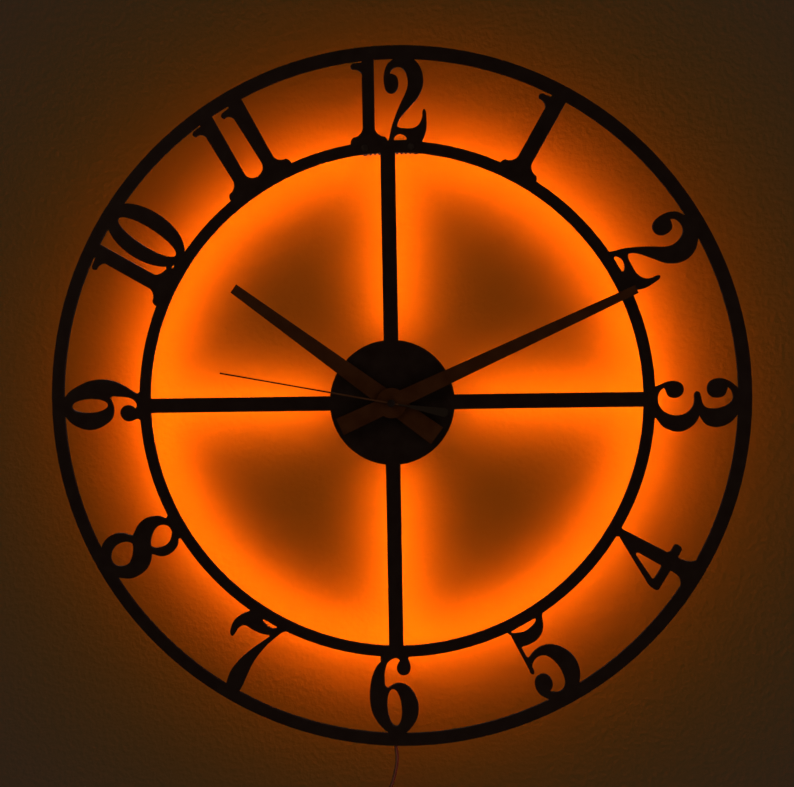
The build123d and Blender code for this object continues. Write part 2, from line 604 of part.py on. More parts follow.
def hanger_bracket():
    """Toothed web near the wall, two sloping legs and two tabs riveted to the inner ring."""
    half = HANGER_WIDTH / 2
    web_front = HANGER_WALL_GAP + HANGER_T
    tooth_tip = HANG_RADIUS - TOOTH_DEPTH
    web_top = HANG_RADIUS + HANGER_HEIGHT
    web = Pos(0, (tooth_tip + web_top) / 2) * Rectangle(HANGER_WIDTH, web_top - tooth_tip)
    for index in range(NOTCHES):
        across = (index - (NOTCHES - 1) / 2) * TOOTH_PITCH
        notch = [(across - TOOTH_PITCH / 2, tooth_tip), (across + TOOTH_PITCH / 2, tooth_tip)]
        web -= Polygon(*notch, (across, HANG_RADIUS), align=None)
    solid = slab(web, HANGER_WALL_GAP, web_front)
    ring_low = sqrt((INNER_RING_RADIUS - INNER_RING_WIDTH)**2 - half**2) + FOOT_TAB_MARGIN
    ring_high = sqrt(INNER_RING_RADIUS**2 - half**2) - FOOT_TAB_MARGIN
    tab_back = STAND_OFF - HANGER_T
    tab_width = half - RIVET_SPACING / 2 + RIVET_HEAD_D
    leg_side = [
        (-HANGER_WALL_GAP, HANG_RADIUS),
        (-HANGER_WALL_GAP, web_top),
        (-STAND_OFF, ring_high),
        (-STAND_OFF, ring_low),
    ]
    left_plane = Plane((-half, 0, ARBOR_Z), x_dir=(0, 1, 0), z_dir=(1, 0, 0))
    leg = extrude(left_plane * Polygon(*leg_side, align=None), amount=HANGER_T)
    solid += leg + mirror(leg, about=Plane.YZ)
    for side in (-1, 1):
        tab = Pos(side * (half - tab_width / 2), (ring_low + ring_high) / 2)
        tab = tab * Rectangle(tab_width, ring_high - ring_low)
        tab -= Pos(*rivet_axis(side)) * Circle(RIVET_SHANK_D / 2 + PRESS_FIT)
        solid += slab(tab, tab_back, STAND_OFF)
    return solid


def hanger_rivets():
    """Two rivets with low round heads on the dial and closed heads behind the tabs."""
    rivets = []
    for side in (-1, 1):
        axis = rivet_axis(side)
        tab_back = STAND_OFF - HANGER_T
        rivet = disc(RIVET_SHANK_D, tab_back, PLATE_FRONT, axis)
        head = disc(RIVET_HEAD_D, PLATE_FRONT, PLATE_FRONT + RIVET_HEAD_T, axis)
        rim = head.faces().sort_by(Axis.Y)[0].edges()
        rivet += chamfer(rim, RIVET_HEAD_T / 2)
        rivet += disc(RIVET_HEAD_D, tab_back - RIVET_HEAD_T, tab_back, axis)
        rivets.append(rivet)
    return Compound(rivets)


def standoff_posts():
    """Plain studs welded to the back of the hub."""
    posts = []
    for direction in POST_DIRECTIONS_DEG:
        posts.append(disc(POST_D, FOOT_T - FOOT_SOCKET, STAND_OFF, polar(POST_RADIUS, direction)))
    return Compound(posts)


def wall_feet():
    """Rubber cups on the posts' ends."""
    feet = []
    for direction in POST_DIRECTIONS_DEG:
        axis = polar(POST_RADIUS, direction)
        cup = disc(FOOT_D, 0, FOOT_T, axis)
        socket = disc(POST_D + 2 * PRESS_FIT, FOOT_T - FOOT_SOCKET, FOOT_T, axis)
        feet.append(cup - socket)
    return Compound(feet)


def top_wedge(angle):
    """Wedge from the arbor to past the ring strip, about the top of the dial."""
    half = INNER_RING_RADIUS * tan(radians(angle / 2))
    return Polygon((0, 0), (half, INNER_RING_RADIUS), (-half, INNER_RING_RADIUS), align=None)


def ring_led_strip():
    """Flat flexible strip round the inner ring, cut at the hanger's tabs, with a short one between them."""
    band = Circle(RING_STRIP_INNER + RING_STRIP_WIDTH) - Circle(RING_STRIP_INNER)
    long_strip = slab(band - top_wedge(RING_STRIP_GAP_DEG), STAND_OFF - STRIP_T, STAND_OFF)
    short_strip = slab(band & top_wedge(TOP_STRIP_DEG), STAND_OFF - STRIP_T, STAND_OFF)
    return Compound([long_strip, short_strip])


def led(across, up, turn):
    """One light diode on a strip."""
    body = Pos(across, up) * Rot(0, 0, turn) * Rectangle(LED_LENGTH, LED_WIDTH)
    return slab(body, STAND_OFF - STRIP_T - LED_T, STAND_OFF - STRIP_T)


def ring_leds():
    """Light diodes at an even step along the two ring strips."""
    run_deg = 360 - RING_STRIP_GAP_DEG
    count = int(radians(run_deg) * RING_MIDDLE / LED_PITCH)
    step = run_deg / count
    leds = []
    for index in range(count):
        direction = 90 + RING_STRIP_GAP_DEG / 2 + (index + 1 / 2) * step
        leds.append(led(*polar(RING_MIDDLE, direction), direction + 90))
    top_step = TOP_STRIP_DEG / TOP_LEDS
    for index in range(TOP_LEDS):
        direction = 90 - TOP_STRIP_DEG / 2 + (index + 1 / 2) * top_step
        leds.append(led(*polar(RING_MIDDLE, direction), direction + 90))
    return Compound(leds)


def spoke_led_strips():
    """A straight strip on the back of each spoke."""
    strips = []
    for hour in (12, 3, 6, 9):
        middle = SPOKE_STRIP_START + SPOKE_STRIP_LENGTH / 2
        strip = clock_turn(hour) * Pos(0, middle) * Rectangle(SPOKE_STRIP_WIDTH, SPOKE_STRIP_LENGTH)
        strips.append(slab(strip, STAND_OFF - STRIP_T, STAND_OFF))
    return Compound(strips)


def spoke_leds():
    """Light diodes along the four spoke strips."""
    count = int(SPOKE_STRIP_LENGTH / LED_PITCH)
    step = SPOKE_STRIP_LENGTH / count
    leds = []
    for direction in (0, 90, 180, 270):
        for index in range(count):
            distance = SPOKE_STRIP_START + (index + 1 / 2) * step
            leds.append(led(*polar(distance, direction), direction))
    return Compound(leds)


def strip_jumpers():
    """A pair of wires from each spoke strip to the ring strip."""
    reach = sqrt(RING_STRIP_INNER**2 - JUMPER_D**2)
    depth = STAND_OFF - JUMPER_D / 2
    wires = []
    for direction in (0, 90, 180, 270):
        for beside in (-JUMPER_D, JUMPER_D):
            first = polar(SPOKE_STRIP_END, direction, polar(beside, direction + 90))
            last = polar(reach, direction, polar(beside, direction + 90))
            path = Line(place((first[0], depth, first[1])), place((last[0], depth, last[1])))
            section = Plane(path @ 0, z_dir=path % 0) * Circle(JUMPER_D / 2)
            wires.append(sweep(section, path))
    return Compound(wires)


def hub_jumper():
    """Wire round the movement, from the upper spoke strip to the right one."""
    depth = STAND_OFF - JUMPER_D / 2
    corner = HUB_JUMPER_RADIUS * cos(radians(45))
    points = [
        (0, depth, SPOKE_STRIP_START),
        (0, depth, HUB_JUMPER_RADIUS),
        (corner, depth, corner),
        (HUB_JUMPER_RADIUS, depth, 0),
        (SPOKE_STRIP_START, depth, 0),
    ]
    path = FilletPolyline(*[place(p) for p in points], radius=HUB_JUMPER_BEND)
    section = Plane(path @ 0, z_dir=path % 0) * Circle(JUMPER_D / 2)
    return sweep(section, path)


def movement_gasket():
    """Rubber ring between the case and the plate."""
    ring = Circle(GASKET_D / 2) - Circle(BUSH_D / 2 + HOLE_CLEARANCE)
    return slab(ring, CASE_FRONT, STAND_OFF)


def pivot_hole(diameter, axis, back, front):
    """Cutter for a running fit."""
    return disc(diameter + 2 * RUN_FIT, back, front, axis)


def movement_case():
    """Moulded case with a battery bay below, a chamber above and the fixing bush in front."""
    solid = slab(RectangleRounded(CASE_SIZE, CASE_SIZE, CASE_CORNER), CASE_BACK, CASE_FRONT)
    bay = Pos(0, (BAY_TOP - CASE_INNER) / 2) * Rectangle(2 * CASE_INNER, BAY_TOP + CASE_INNER)
    chamber = Pos(0, (CHAMBER_FLOOR + CASE_INNER) / 2)
    chamber = chamber * Rectangle(2 * CASE_INNER, CASE_INNER - CHAMBER_FLOOR)
    solid -= slab(bay + chamber, CASE_BACK, CHAMBER_FRONT)
    solid += disc(BUSH_D, CASE_FRONT, BUSH_FRONT)
    solid -= pivot_hole(HOUR_TUBE_D, (0, 0), CHAMBER_FRONT, BUSH_FRONT)
    solid -= pivot_hole(SETTING_ARBOR_D, MINUTE_WORK_AXIS, CHAMBER_FRONT, CHAMBER_FRONT + PIVOT_DEPTH)
    return solid


def case_cover():
    """Lid over the chamber, with the posts that three wheels turn on."""
    height = CASE_SIZE / 2 - BAY_TOP
    lid = Pos(0, BAY_TOP + height / 2) * RectangleRounded(CASE_SIZE, height, CASE_CORNER)
    solid = slab(lid, COVER_BACK, CASE_BACK)
    solid += disc(COVER_POST_D, CASE_BACK, DRIVE_FRONT, THIRD_AXIS)
    solid += disc(COVER_POST_D, CASE_BACK, SECONDS_FRONT, INTERMEDIATE_AXIS)
    solid += disc(COVER_POST_D, CASE_BACK, SECONDS_FRONT, ROTOR_AXIS)
    solid -= pivot_hole(SECONDS_ARBOR_D, (0, 0), CASE_BACK - PIVOT_DEPTH, CASE_BACK)
    solid -= pivot_hole(SETTING_ARBOR_D, MINUTE_WORK_AXIS, COVER_BACK, CASE_BACK)
    return solid


def fixing_washer():
    """Washer on the front of the hub."""
    return slab(Circle(WASHER_D / 2) - Circle(BUSH_D / 2 + HOLE_CLEARANCE), PLATE_FRONT, WASHER_FRONT)


def fixing_nut():
    """Thin hexagon nut on the bush."""
    hexagon = RegularPolygon(NUT_ACROSS_FLATS / 2, 6, major_radius=False)
    return slab(hexagon - Circle(BUSH_D / 2 + PRESS_FIT), WASHER_FRONT, NUT_FRONT)


def battery_axis():
    """Distance from the wall and height of the cell's middle line."""
    inset = BATTERY_CLEARANCE + BATTERY_D / 2
    return CHAMBER_FRONT - inset, -CASE_INNER + inset


def battery_cell():
    """Round cell along X with its terminal nub to the right."""
    start = place((-(BATTERY_LENGTH + BATTERY_NUB_LENGTH) / 2, *battery_axis()))
    along = Plane(start, z_dir=(1, 0, 0))
    solid = extrude(along * Circle(BATTERY_D / 2), amount=BATTERY_LENGTH)
    nub = along.offset(BATTERY_LENGTH) * Circle(BATTERY_NUB_D / 2)
    return solid + extrude(nub, amount=BATTERY_NUB_LENGTH)


def battery_contacts():
    """A bowed strip at each end of the bay, between the cell and the wall."""
    half = (BATTERY_LENGTH + BATTERY_NUB_LENGTH) / 2
    depth, height = battery_axis()
    reach = BATTERY_D / 2 - BATTERY_CLEARANCE
    end = CASE_INNER - CONTACT_T
    touching = ThreePointArc((end, height - reach), (half, height), (end, height + reach))
    backing = ThreePointArc((CASE_INNER, height + reach), (half + CONTACT_T, height), (CASE_INNER, height - reach))
    low = Line(backing @ 1, touching @ 0)
    high = Line(touching @ 1, backing @ 0)
    section = make_face([touching, high, backing, low])
    strip = slab(section, depth - CONTACT_WIDTH / 2, depth + CONTACT_WIDTH / 2)
    return Compound([strip, mirror(strip, about=Plane.YZ)])


def gear_face(teeth, distance, partner_teeth, tooth_direction):
    """Wheel outline with straight-flanked teeth, one of them centred on a direction."""
    module = 2 * distance / (teeth + partner_teeth)
    pitch_radius = module * teeth / 2
    tip = pitch_radius + ADDENDUM_SHARE * module
    root = pitch_radius - DEDENDUM_SHARE * module
    step = 360 / teeth
    points = []
    for index in range(teeth):
        middle = tooth_direction + index * step
        points.append(polar(root, middle - TOOTH_ROOT_SHARE * step / 2))
        points.append(polar(tip, middle - TOOTH_TIP_SHARE * step / 2))
        points.append(polar(tip, middle + TOOTH_TIP_SHARE * step / 2))
        points.append(polar(root, middle + TOOTH_ROOT_SHARE * step / 2))
    return Polygon(*points, align=None)


def wheel(teeth, partner_teeth, distance, direction, back, front, axis=(0, 0)):
    """Larger gear of a pair, with a tooth pointing at its partner."""
    return slab(Pos(*axis) * gear_face(teeth, distance, partner_teeth, direction), back, front)


def pinion(teeth, partner_teeth, distance, direction, back, front, axis=(0, 0)):
    """Smaller gear of a pair, with a gap pointing at its partner."""
    face = gear_face(teeth, distance, partner_teeth, direction + 180 / teeth)
    return slab(Pos(*axis) * face, back, front)


def around(back, front):
    """Back and front of a pinion that stands past its wheel's thickness on both sides."""
    middle = (back + front) / 2
    return middle - PINION_T / 2, middle + PINION_T / 2


def hour_wheel():
    """Wheel on the tube that carries the hour hand."""
    solid = wheel(HOUR_TEETH, MINUTE_WORK_PINION_TEETH, MINUTE_WORK_DISTANCE, MINUTE_WORK_DIRECTION,
                  HOUR_WHEEL_BACK, HOUR_WHEEL_FRONT)
    solid += disc(HOUR_TUBE_D, HOUR_WHEEL_BACK, HOUR_HAND_FRONT)
    return solid - pivot_hole(MINUTE_ARBOR_D, (0, 0), HOUR_WHEEL_BACK, HOUR_HAND_FRONT)


def cannon_pinion():
    """Hollow minute arbor with the pinion of the motion work and the seat of the drive wheel."""
    solid = pinion(CANNON_TEETH, MINUTE_WORK_TEETH, MINUTE_WORK_DISTANCE, MINUTE_WORK_DIRECTION,
                   CANNON_BACK, CANNON_FRONT)
    solid += disc(MINUTE_ARBOR_D, DRIVE_BACK, MINUTE_HAND_FRONT)
    return solid - pivot_hole(SECONDS_ARBOR_D, (0, 0), DRIVE_BACK, MINUTE_HAND_FRONT)


def minute_work_wheel():
    """Wheel and pinion on the setting arbor."""
    wheel_front = CANNON_FRONT - (PINION_T - WHEEL_T) / 2
    turned = MINUTE_WORK_DIRECTION + 180
    solid = wheel(MINUTE_WORK_TEETH, CANNON_TEETH, MINUTE_WORK_DISTANCE, turned,
                  wheel_front - WHEEL_T, wheel_front, MINUTE_WORK_AXIS)
    solid += pinion(MINUTE_WORK_PINION_TEETH, HOUR_TEETH, MINUTE_WORK_DISTANCE, turned,
                    wheel_front, HOUR_WHEEL_FRONT, MINUTE_WORK_AXIS)
    arbor_front = CHAMBER_FRONT + PIVOT_DEPTH - RUN_FIT
    return solid + disc(SETTING_ARBOR_D, COVER_BACK - KNOB_GAP, arbor_front, MINUTE_WORK_AXIS)


def setting_knob():
    """Ribbed knob on the end of the setting arbor, behind the cover."""
    front = COVER_BACK - KNOB_GAP
    grip = Circle(KNOB_D / 2)
    for index in range(KNOB_RIBS):
        grip -= Pos(*polar(KNOB_D / 2, index * 360 / KNOB_RIBS)) * Circle(KNOB_RIB_D / 2)
    return slab(Pos(*MINUTE_WORK_AXIS) * grip, front - KNOB_T, front)


def drive_wheel():
    """Minute wheel of the going train, held on the cannon pinion by friction."""
    solid = wheel(DRIVE_TEETH, THIRD_PINION_TEETH, THIRD_DISTANCE, THIRD_DIRECTION, DRIVE_BACK, DRIVE_FRONT)
    return solid - pivot_hole(MINUTE_ARBOR_D, (0, 0), DRIVE_BACK, DRIVE_FRONT)


def third_wheel():
    """Wheel and pinion between the seconds and minute wheels."""
    turned = THIRD_DIRECTION + 180
    high = around(DRIVE_BACK, DRIVE_FRONT)[1]
    solid = wheel(THIRD_TEETH, SECONDS_PINION_TEETH, THIRD_DISTANCE, turned, THIRD_BACK, THIRD_FRONT, THIRD_AXIS)
    solid += pinion(THIRD_PINION_TEETH, DRIVE_TEETH, THIRD_DISTANCE, turned, THIRD_FRONT, high, THIRD_AXIS)
    return solid - pivot_hole(COVER_POST_D, THIRD_AXIS, THIRD_BACK, high)


def seconds_wheel():
    """Wheel and pinion on the arbor that carries the second hand."""
    high = around(THIRD_BACK, THIRD_FRONT)[1]
    solid = wheel(SECONDS_TEETH, INTERMEDIATE_PINION_TEETH, INTERMEDIATE_DISTANCE, INTERMEDIATE_DIRECTION,
                  SECONDS_BACK, SECONDS_FRONT)
    solid += pinion(SECONDS_PINION_TEETH, THIRD_TEETH, THIRD_DISTANCE, THIRD_DIRECTION, SECONDS_FRONT, high)
    return solid + disc(SECONDS_ARBOR_D, CASE_BACK - PIVOT_DEPTH + RUN_FIT, SECOND_HAND_FRONT)


def intermediate_wheel():
    """Wheel and pinion between the rotor and the seconds wheel."""
    high = around(SECONDS_BACK, SECONDS_FRONT)[1]
    solid = wheel(INTERMEDIATE_TEETH, ROTOR_TEETH, ROTOR_DISTANCE, ROTOR_DIRECTION,
                  INTERMEDIATE_BACK, INTERMEDIATE_FRONT, INTERMEDIATE_AXIS)
    solid += pinion(INTERMEDIATE_PINION_TEETH, SECONDS_TEETH, INTERMEDIATE_DISTANCE,
                    INTERMEDIATE_DIRECTION + 180, INTERMEDIATE_FRONT, high, INTERMEDIATE_AXIS)
    return solid - pivot_hole(COVER_POST_D, INTERMEDIATE_AXIS, INTERMEDIATE_BACK, high)


def rotor():
    """Round magnet with the pinion that starts the train."""
    low, high = around(INTERMEDIATE_BACK, INTERMEDIATE_FRONT)
    solid = pinion(ROTOR_TEETH, INTERMEDIATE_TEETH, ROTOR_DISTANCE, ROTOR_DIRECTION + 180, low, high, ROTOR_AXIS)
    solid += disc(ROTOR_MAGNET_D, high, high + ROTOR_MAGNET_T, ROTOR_AXIS)
    return solid - pivot_hole(COVER_POST_D, ROTOR_AXIS, low, high + ROTOR_MAGNET_T)


def stator_back():
    """Back face of the stator, level with the middle of the rotor's magnet."""
    high = around(INTERMEDIATE_BACK, INTERMEDIATE_FRONT)[1]
    return high + (ROTOR_MAGNET_T - STATOR_T) / 2


def stator_corner():
    """Lower left corner of the stator."""
    reach = ROTOR_MAGNET_D / 2 + STATOR_GAP + STATOR_WALL
    return ROTOR_AXIS[0] - reach, ROTOR_AXIS[1] - reach


def stator():
    """Iron plate round the rotor with two legs up to the coil's core."""
    x, z = stator_corner()
    body_height = 2 * (ROTOR_AXIS[1] - z)
    face = Pos(x + STATOR_LENGTH / 2, z + body_height / 2) * Rectangle(STATOR_LENGTH, body_height)
    leg_top = ROTOR_AXIS[1] + COIL_RISE + CORE_WIDTH / 2
    leg_height = leg_top - z
    for left in (x, x + STATOR_LENGTH - STATOR_LEG_WIDTH):
        middle = Pos(left + STATOR_LEG_WIDTH / 2, z + leg_height / 2)
        face += middle * Rectangle(STATOR_LEG_WIDTH, leg_height)
    face -= Pos(*ROTOR_AXIS) * Circle(ROTOR_MAGNET_D / 2 + STATOR_GAP)
    return slab(face, stator_back(), stator_back() + STATOR_T)


def coil_core():
    """Iron bar across the stator's legs, through the coil."""
    x, z = stator_corner()
    bar = Pos(x + STATOR_LENGTH / 2, ROTOR_AXIS[1] + COIL_RISE) * Rectangle(STATOR_LENGTH, CORE_WIDTH)
    return slab(bar, stator_back() + STATOR_T, stator_back() + 2 * STATOR_T)


def drive_coil():
    """Wound bobbin on the core, with a flange at each end."""
    x, z = stator_corner()
    length = STATOR_LENGTH - 2 * STATOR_LEG_WIDTH - 2 * LAYER_GAP
    start = x + STATOR_LEG_WIDTH + LAYER_GAP
    depth = stator_back() + STATOR_T + STATOR_T / 2
    height = ROTOR_AXIS[1] + COIL_RISE
    along = Plane(place((start, depth, height)), x_dir=(0, 1, 0), z_dir=(1, 0, 0))
    solid = extrude(along * Circle(COIL_D / 2), amount=length)
    for offset in (0, length - COIL_FLANGE_T):
        solid += extrude(along.offset(offset) * Circle(COIL_FLANGE_D / 2), amount=COIL_FLANGE_T)
    slot = along * Rectangle(STATOR_T + 2 * PRESS_FIT, CORE_WIDTH + 2 * PRESS_FIT)
    return solid - extrude(slot, amount=length)


def circuit_board():
    """Small board on the inside of the cover."""
    across = -CASE_INNER + BOARD_MARGIN + BOARD_WIDTH / 2
    up = CASE_INNER - BOARD_MARGIN - BOARD_HEIGHT / 2
    return slab(Pos(across, up) * Rectangle(BOARD_WIDTH, BOARD_HEIGHT), CASE_BACK, CASE_BACK + BOARD_T)


def baton(length, tail, tip_width, tail_width, clock_deg, hole_d):
    """Straight tapered hand with square ends and a round boss, turned to its clock angle."""
    taper = [
        (-tail_width / 2, -tail),
        (tail_width / 2, -tail),
        (tip_width / 2, length),
        (-tip_width / 2, length),
    ]
    face = Polygon(*taper, align=None) + Circle(HAND_BOSS_RADIUS) - Circle(hole_d / 2 + PRESS_FIT)
    return Rot(0, 0, -clock_deg) * face


def hour_hand():
    """Shorter hand, pressed on the hour tube."""
    face = baton(HOUR_HAND_LENGTH, HOUR_HAND_TAIL, HOUR_HAND_TIP_WIDTH, HOUR_HAND_TAIL_WIDTH,
                 HOUR_HAND_CLOCK_DEG, HOUR_TUBE_D)
    return slab(face, HOUR_HAND_BACK, HOUR_HAND_FRONT)


def minute_hand():
    """Longer hand, pressed on the minute arbor."""
    face = baton(MINUTE_HAND_LENGTH, MINUTE_HAND_TAIL, MINUTE_HAND_TIP_WIDTH, MINUTE_HAND_TAIL_WIDTH,
                 MINUTE_HAND_CLOCK_DEG, MINUTE_ARBOR_D)
    return slab(face, MINUTE_HAND_BACK, MINUTE_HAND_FRONT)


def second_hand():
    """Thin blade with a paddle-shaped counterweight."""
    blade_length = SECOND_HAND_LENGTH + SECOND_HAND_NECK
    face = Pos(0, blade_length / 2 - SECOND_HAND_NECK) * Rectangle(SECOND_HAND_WIDTH, blade_length)
    shoulder = SECOND_HAND_TAIL - SECOND_HAND_PADDLE_WIDTH / 2
    half_neck = SECOND_HAND_NECK_WIDTH / 2
    half_paddle = SECOND_HAND_PADDLE_WIDTH / 2
    paddle = [
        Line((-half_neck, -SECOND_HAND_NECK), (half_neck, -SECOND_HAND_NECK)),
        Line((half_neck, -SECOND_HAND_NECK), (half_paddle, -shoulder)),
        ThreePointArc((half_paddle, -shoulder), (0, -SECOND_HAND_TAIL), (-half_paddle, -shoulder)),
        Line((-half_paddle, -shoulder), (-half_neck, -SECOND_HAND_NECK)),
    ]
    face += make_face(paddle)
    face += Circle(SECOND_BUSH_D / 2)
    face -= Circle(SECONDS_ARBOR_D / 2 + PRESS_FIT)
    return slab(Rot(0, 0, -SECOND_HAND_CLOCK_DEG) * face, SECOND_HAND_BACK, SECOND_HAND_FRONT)


def second_hand_bush():
    """Small turned cap that closes the second hand's hole."""
    cap = disc(SECOND_BUSH_D, SECOND_HAND_FRONT, SECOND_HAND_FRONT + SECOND_BUSH_T)
    return fillet(cap.faces().sort_by(Axis.Y)[0].edges(), SECOND_BUSH_EDGE)


def inner_route():
    """Points of the lead behind the 6, from the ring strip to the middle of the clip."""
    height = FIGURE_HEIGHT
    route = [(x * height, LEAD_STAND, y * height - BAND_OUTER) for x, y in LEAD_INNER_SHARES]
    return [*route, (CLIP_ACROSS, LEAD_STAND, -BAND_OUTER), free_route()[0]]


def free_route():
    """Points of the lead from the middle of the clip to the coil."""
    to_wall = LEAD_STAND - COIL_STAND
    rim_middle = DIAL_RADIUS - RIM_WIDTH / 2
    route = []
    for left, back, down in LEAD_FREE_SHARES:
        route.append((CLIP_ACROSS - left * LEAD_SIDE, LEAD_STAND - back * to_wall, -rim_middle - down * LEAD_DROP))
    return route


def corner_radii(points):
    """Largest arcs that the runs on each side of a corner leave room for."""
    radii = []
    for before, here, after in zip(points, points[1:], points[2:]):
        turn = (here - before).get_angle(after - here)
        shorter = min((here - before).length, (after - here).length)
        radii.append(CORNER_SHARE * shorter / tan(radians(turn) / 2))
    return radii


def lead_tube(name, route):
    """Round lead along straight runs and tangent arcs, with its radii and volume printed."""
    points = [place(point) for point in route]
    radii = corner_radii(points)
    path = FilletPolyline(*points, radius=radii)
    tube = sweep(Plane(path @ 0, z_dir=path % 0) * Circle(LEAD_D / 2), path)
    section = pi * LEAD_D**2 / 4
    print(name, "radii", [round(r, 1) for r in radii], "length", round(path.length, 1))
    print(name, "volume over section times length", round(tube.volume / (section * path.length), 4))
    return tube


def coil_middle():
    """Middle of the coil: its outer end is where the lead's last run comes down."""
    last = free_route()[-1]
    return last[0] + coil_radius(0), last[2] - LEAD_D


def coil_marks():
    """Turns at which the coil's passes and climbs begin and end."""
    marks = [0]
    for index in range(COIL_PASSES):
        ends = COIL_END_TURNS if index in (0, COIL_PASSES - 1) else 0
        marks.append(marks[-1] + COIL_PASS_TURNS + ends)
        if index < COIL_PASSES - 1:
            marks.append(marks[-1] + 1 / 2)
    return marks


def coil_radius(turn):
    """Distance from the coil's middle, in and out again at a steady rate."""
    marks = coil_marks()
    radius = COIL_INNER_RADIUS + COIL_PITCH * (marks[1] - marks[0])
    for index in range(COIL_PASSES):
        begin, end = marks[2 * index], marks[2 * index + 1]
        done = min(max(turn - begin, 0), end - begin)
        radius += COIL_PITCH * done * (-1 if index % 2 == 0 else 1)
    return radius


def coil_layer(turn):
    """Layers climbed so far, each in the half turn where the spiral reverses."""
    marks = coil_marks()
    layer = 0
    for index in range(COIL_PASSES - 1):
        begin, end = marks[2 * index + 1], marks[2 * index + 2]
        share = min(max((turn - begin) / (end - begin), 0), 1)
        layer += (1 - cos(pi * share)) / 2
    return layer


def coil_point(turn):
    """Point on the coil's middle line, counted in turns from the left."""
    across, up = polar(coil_radius(turn), 180 + 360 * turn, coil_middle())
    depth = COIL_STAND + COIL_PITCH * coil_layer(turn)
    return place((across, depth, up))


def coil_tangent(turn):
    """Direction of the coil's middle line."""
    small = 1 / 4096
    low, high = max(turn - small, 0), min(turn + small, coil_marks()[-1])
    return (coil_point(high) - coil_point(low)).normalized()


def biarc(first, first_way, last, last_way):
    """Two arcs that join two points and their directions without a kink."""
    chord = last - first
    ways = first_way + last_way
    spread = 2 * (1 - first_way.dot(last_way))
    along = chord.dot(ways)
    reach = (-along + sqrt(along**2 + spread * chord.dot(chord))) / spread
    near = first + first_way * reach
    far = last - last_way * reach
    joint = (near + far) / 2
    return [TangentArc(first, joint, tangent=first_way), TangentArc(joint, last, tangent=far - near)]


def lead_coil():
    """The put-away length: piled loops in four layers, in one unbroken tube."""
    turns = coil_marks()[-1]
    steps = round(4 * turns)
    stations = [turns * index / steps for index in range(steps + 1)]
    points = [coil_point(turn) for turn in stations]
    ways = [coil_tangent(turn) for turn in stations]
    ways[0] = ways[-1] = Vector(0, 0, -1)
    edges = [Line(points[0] - ways[0] * LEAD_D, points[0])]
    for index in range(steps):
        edges += biarc(points[index], ways[index], points[index + 1], ways[index + 1])
    edges.append(Line(points[-1], plug_start()))
    path = Wire(edges)
    tube = sweep(Plane(path @ 0, z_dir=path % 0) * Circle(LEAD_D / 2), path)
    section = pi * LEAD_D**2 / 4
    print("lead_coil turns", turns, "length", round(path.length, 1), "least gap", round(coil_gap(), 2))
    print("lead_coil volume over section times length", round(tube.volume / (section * path.length), 4))
    return tube


def coil_gap():
    """Least gap between one stretch of the coil and any other, on points along it."""
    per_turn = 48
    count = round(coil_marks()[-1] * per_turn)
    points = [tuple(coil_point(index / per_turn)) for index in range(count + 1)]
    apart = per_turn // 2
    nearest = min(dist(a, b) for i, a in enumerate(points) for b in points[i + apart:])
    return nearest - LEAD_D


def coil_tie():
    """Band round all the turns, at the right of the coil."""
    marks = coil_marks()
    outer_radius = coil_radius(1 / 2) + LEAD_D / 2 + TIE_CLEARANCE
    sag = (TIE_WIDTH / 2)**2 / (2 * COIL_INNER_RADIUS)
    inner_radius = coil_radius(marks[1]) - LEAD_D / 2 - sag - TIE_CLEARANCE
    across, up = coil_middle()
    back = COIL_WALL_GAP - TIE_CLEARANCE
    front = COIL_WALL_GAP + LEAD_D + COIL_PITCH * (COIL_PASSES - 1) + TIE_CLEARANCE
    middle = place((across + (inner_radius + outer_radius) / 2, (back + front) / 2, up))
    width = outer_radius - inner_radius
    height = front - back
    plane = Plane(middle, x_dir=(1, 0, 0), z_dir=(0, 0, 1))
    inner = RectangleRounded(width, height, LEAD_D / 2)
    outer = RectangleRounded(width + 2 * TIE_T, height + 2 * TIE_T, LEAD_D / 2 + TIE_T)
    return extrude(plane * (outer - inner), amount=TIE_WIDTH / 2, both=True)


def lead_clip():
    """Saddle on the back of the rim that the lead passes through."""
    across, depth, up = free_route()[0]
    back = depth - LEAD_D / 2 - CLIP_WALL
    body = Pos(across, up) * Rectangle(CLIP_WIDTH, CLIP_HEIGHT)
    solid = slab(body, back, STAND_OFF)
    long_edges = solid.faces().sort_by(Axis.Y)[-1].edges().filter_by(Axis.Z)
    solid = fillet(long_edges, CLIP_WALL)
    plane = Plane(place((across, depth, up)), z_dir=(0, 0, 1))
    return solid - extrude(plane * Circle(LEAD_D / 2 + HOLE_CLEARANCE), amount=CLIP_HEIGHT, both=True)


def plug_start():
    """End of the coil's last straight run."""
    return coil_point(coil_marks()[-1]) - Vector(0, 0, PLUG_LEAD_RUN)


def dc_plug():
    """Moulded round plug body, tapering to the lead."""
    half_body = PLUG_BODY_D / 2
    half_neck = PLUG_NECK_D / 2
    neck = PLUG_BODY_LENGTH / 3
    profile = Polyline(
        (0, 0), (half_neck, 0), (half_body, -neck), (half_body, -PLUG_BODY_LENGTH + PLUG_EDGE),
        (half_body - PLUG_EDGE, -PLUG_BODY_LENGTH), (0, -PLUG_BODY_LENGTH), close=True)
    plane = Plane(plug_start(), x_dir=(1, 0, 0), z_dir=(0, -1, 0))
    return revolve(plane * make_face(profile), Axis(plug_start(), (0, 0, 1)))


def plug_barrel():
    """Metal barrel of the plug."""
    tip = Plane(plug_start() - Vector(0, 0, PLUG_BODY_LENGTH), z_dir=(0, 0, -1))
    return extrude(tip * (Circle(PLUG_BARREL_D / 2) - Circle(PLUG_BARREL_BORE / 2)), amount=PLUG_BARREL_LENGTH)


def power_lead():
    """Free stretch of the lead, from the clip to the coil."""
    return lead_tube("power_lead", free_route())


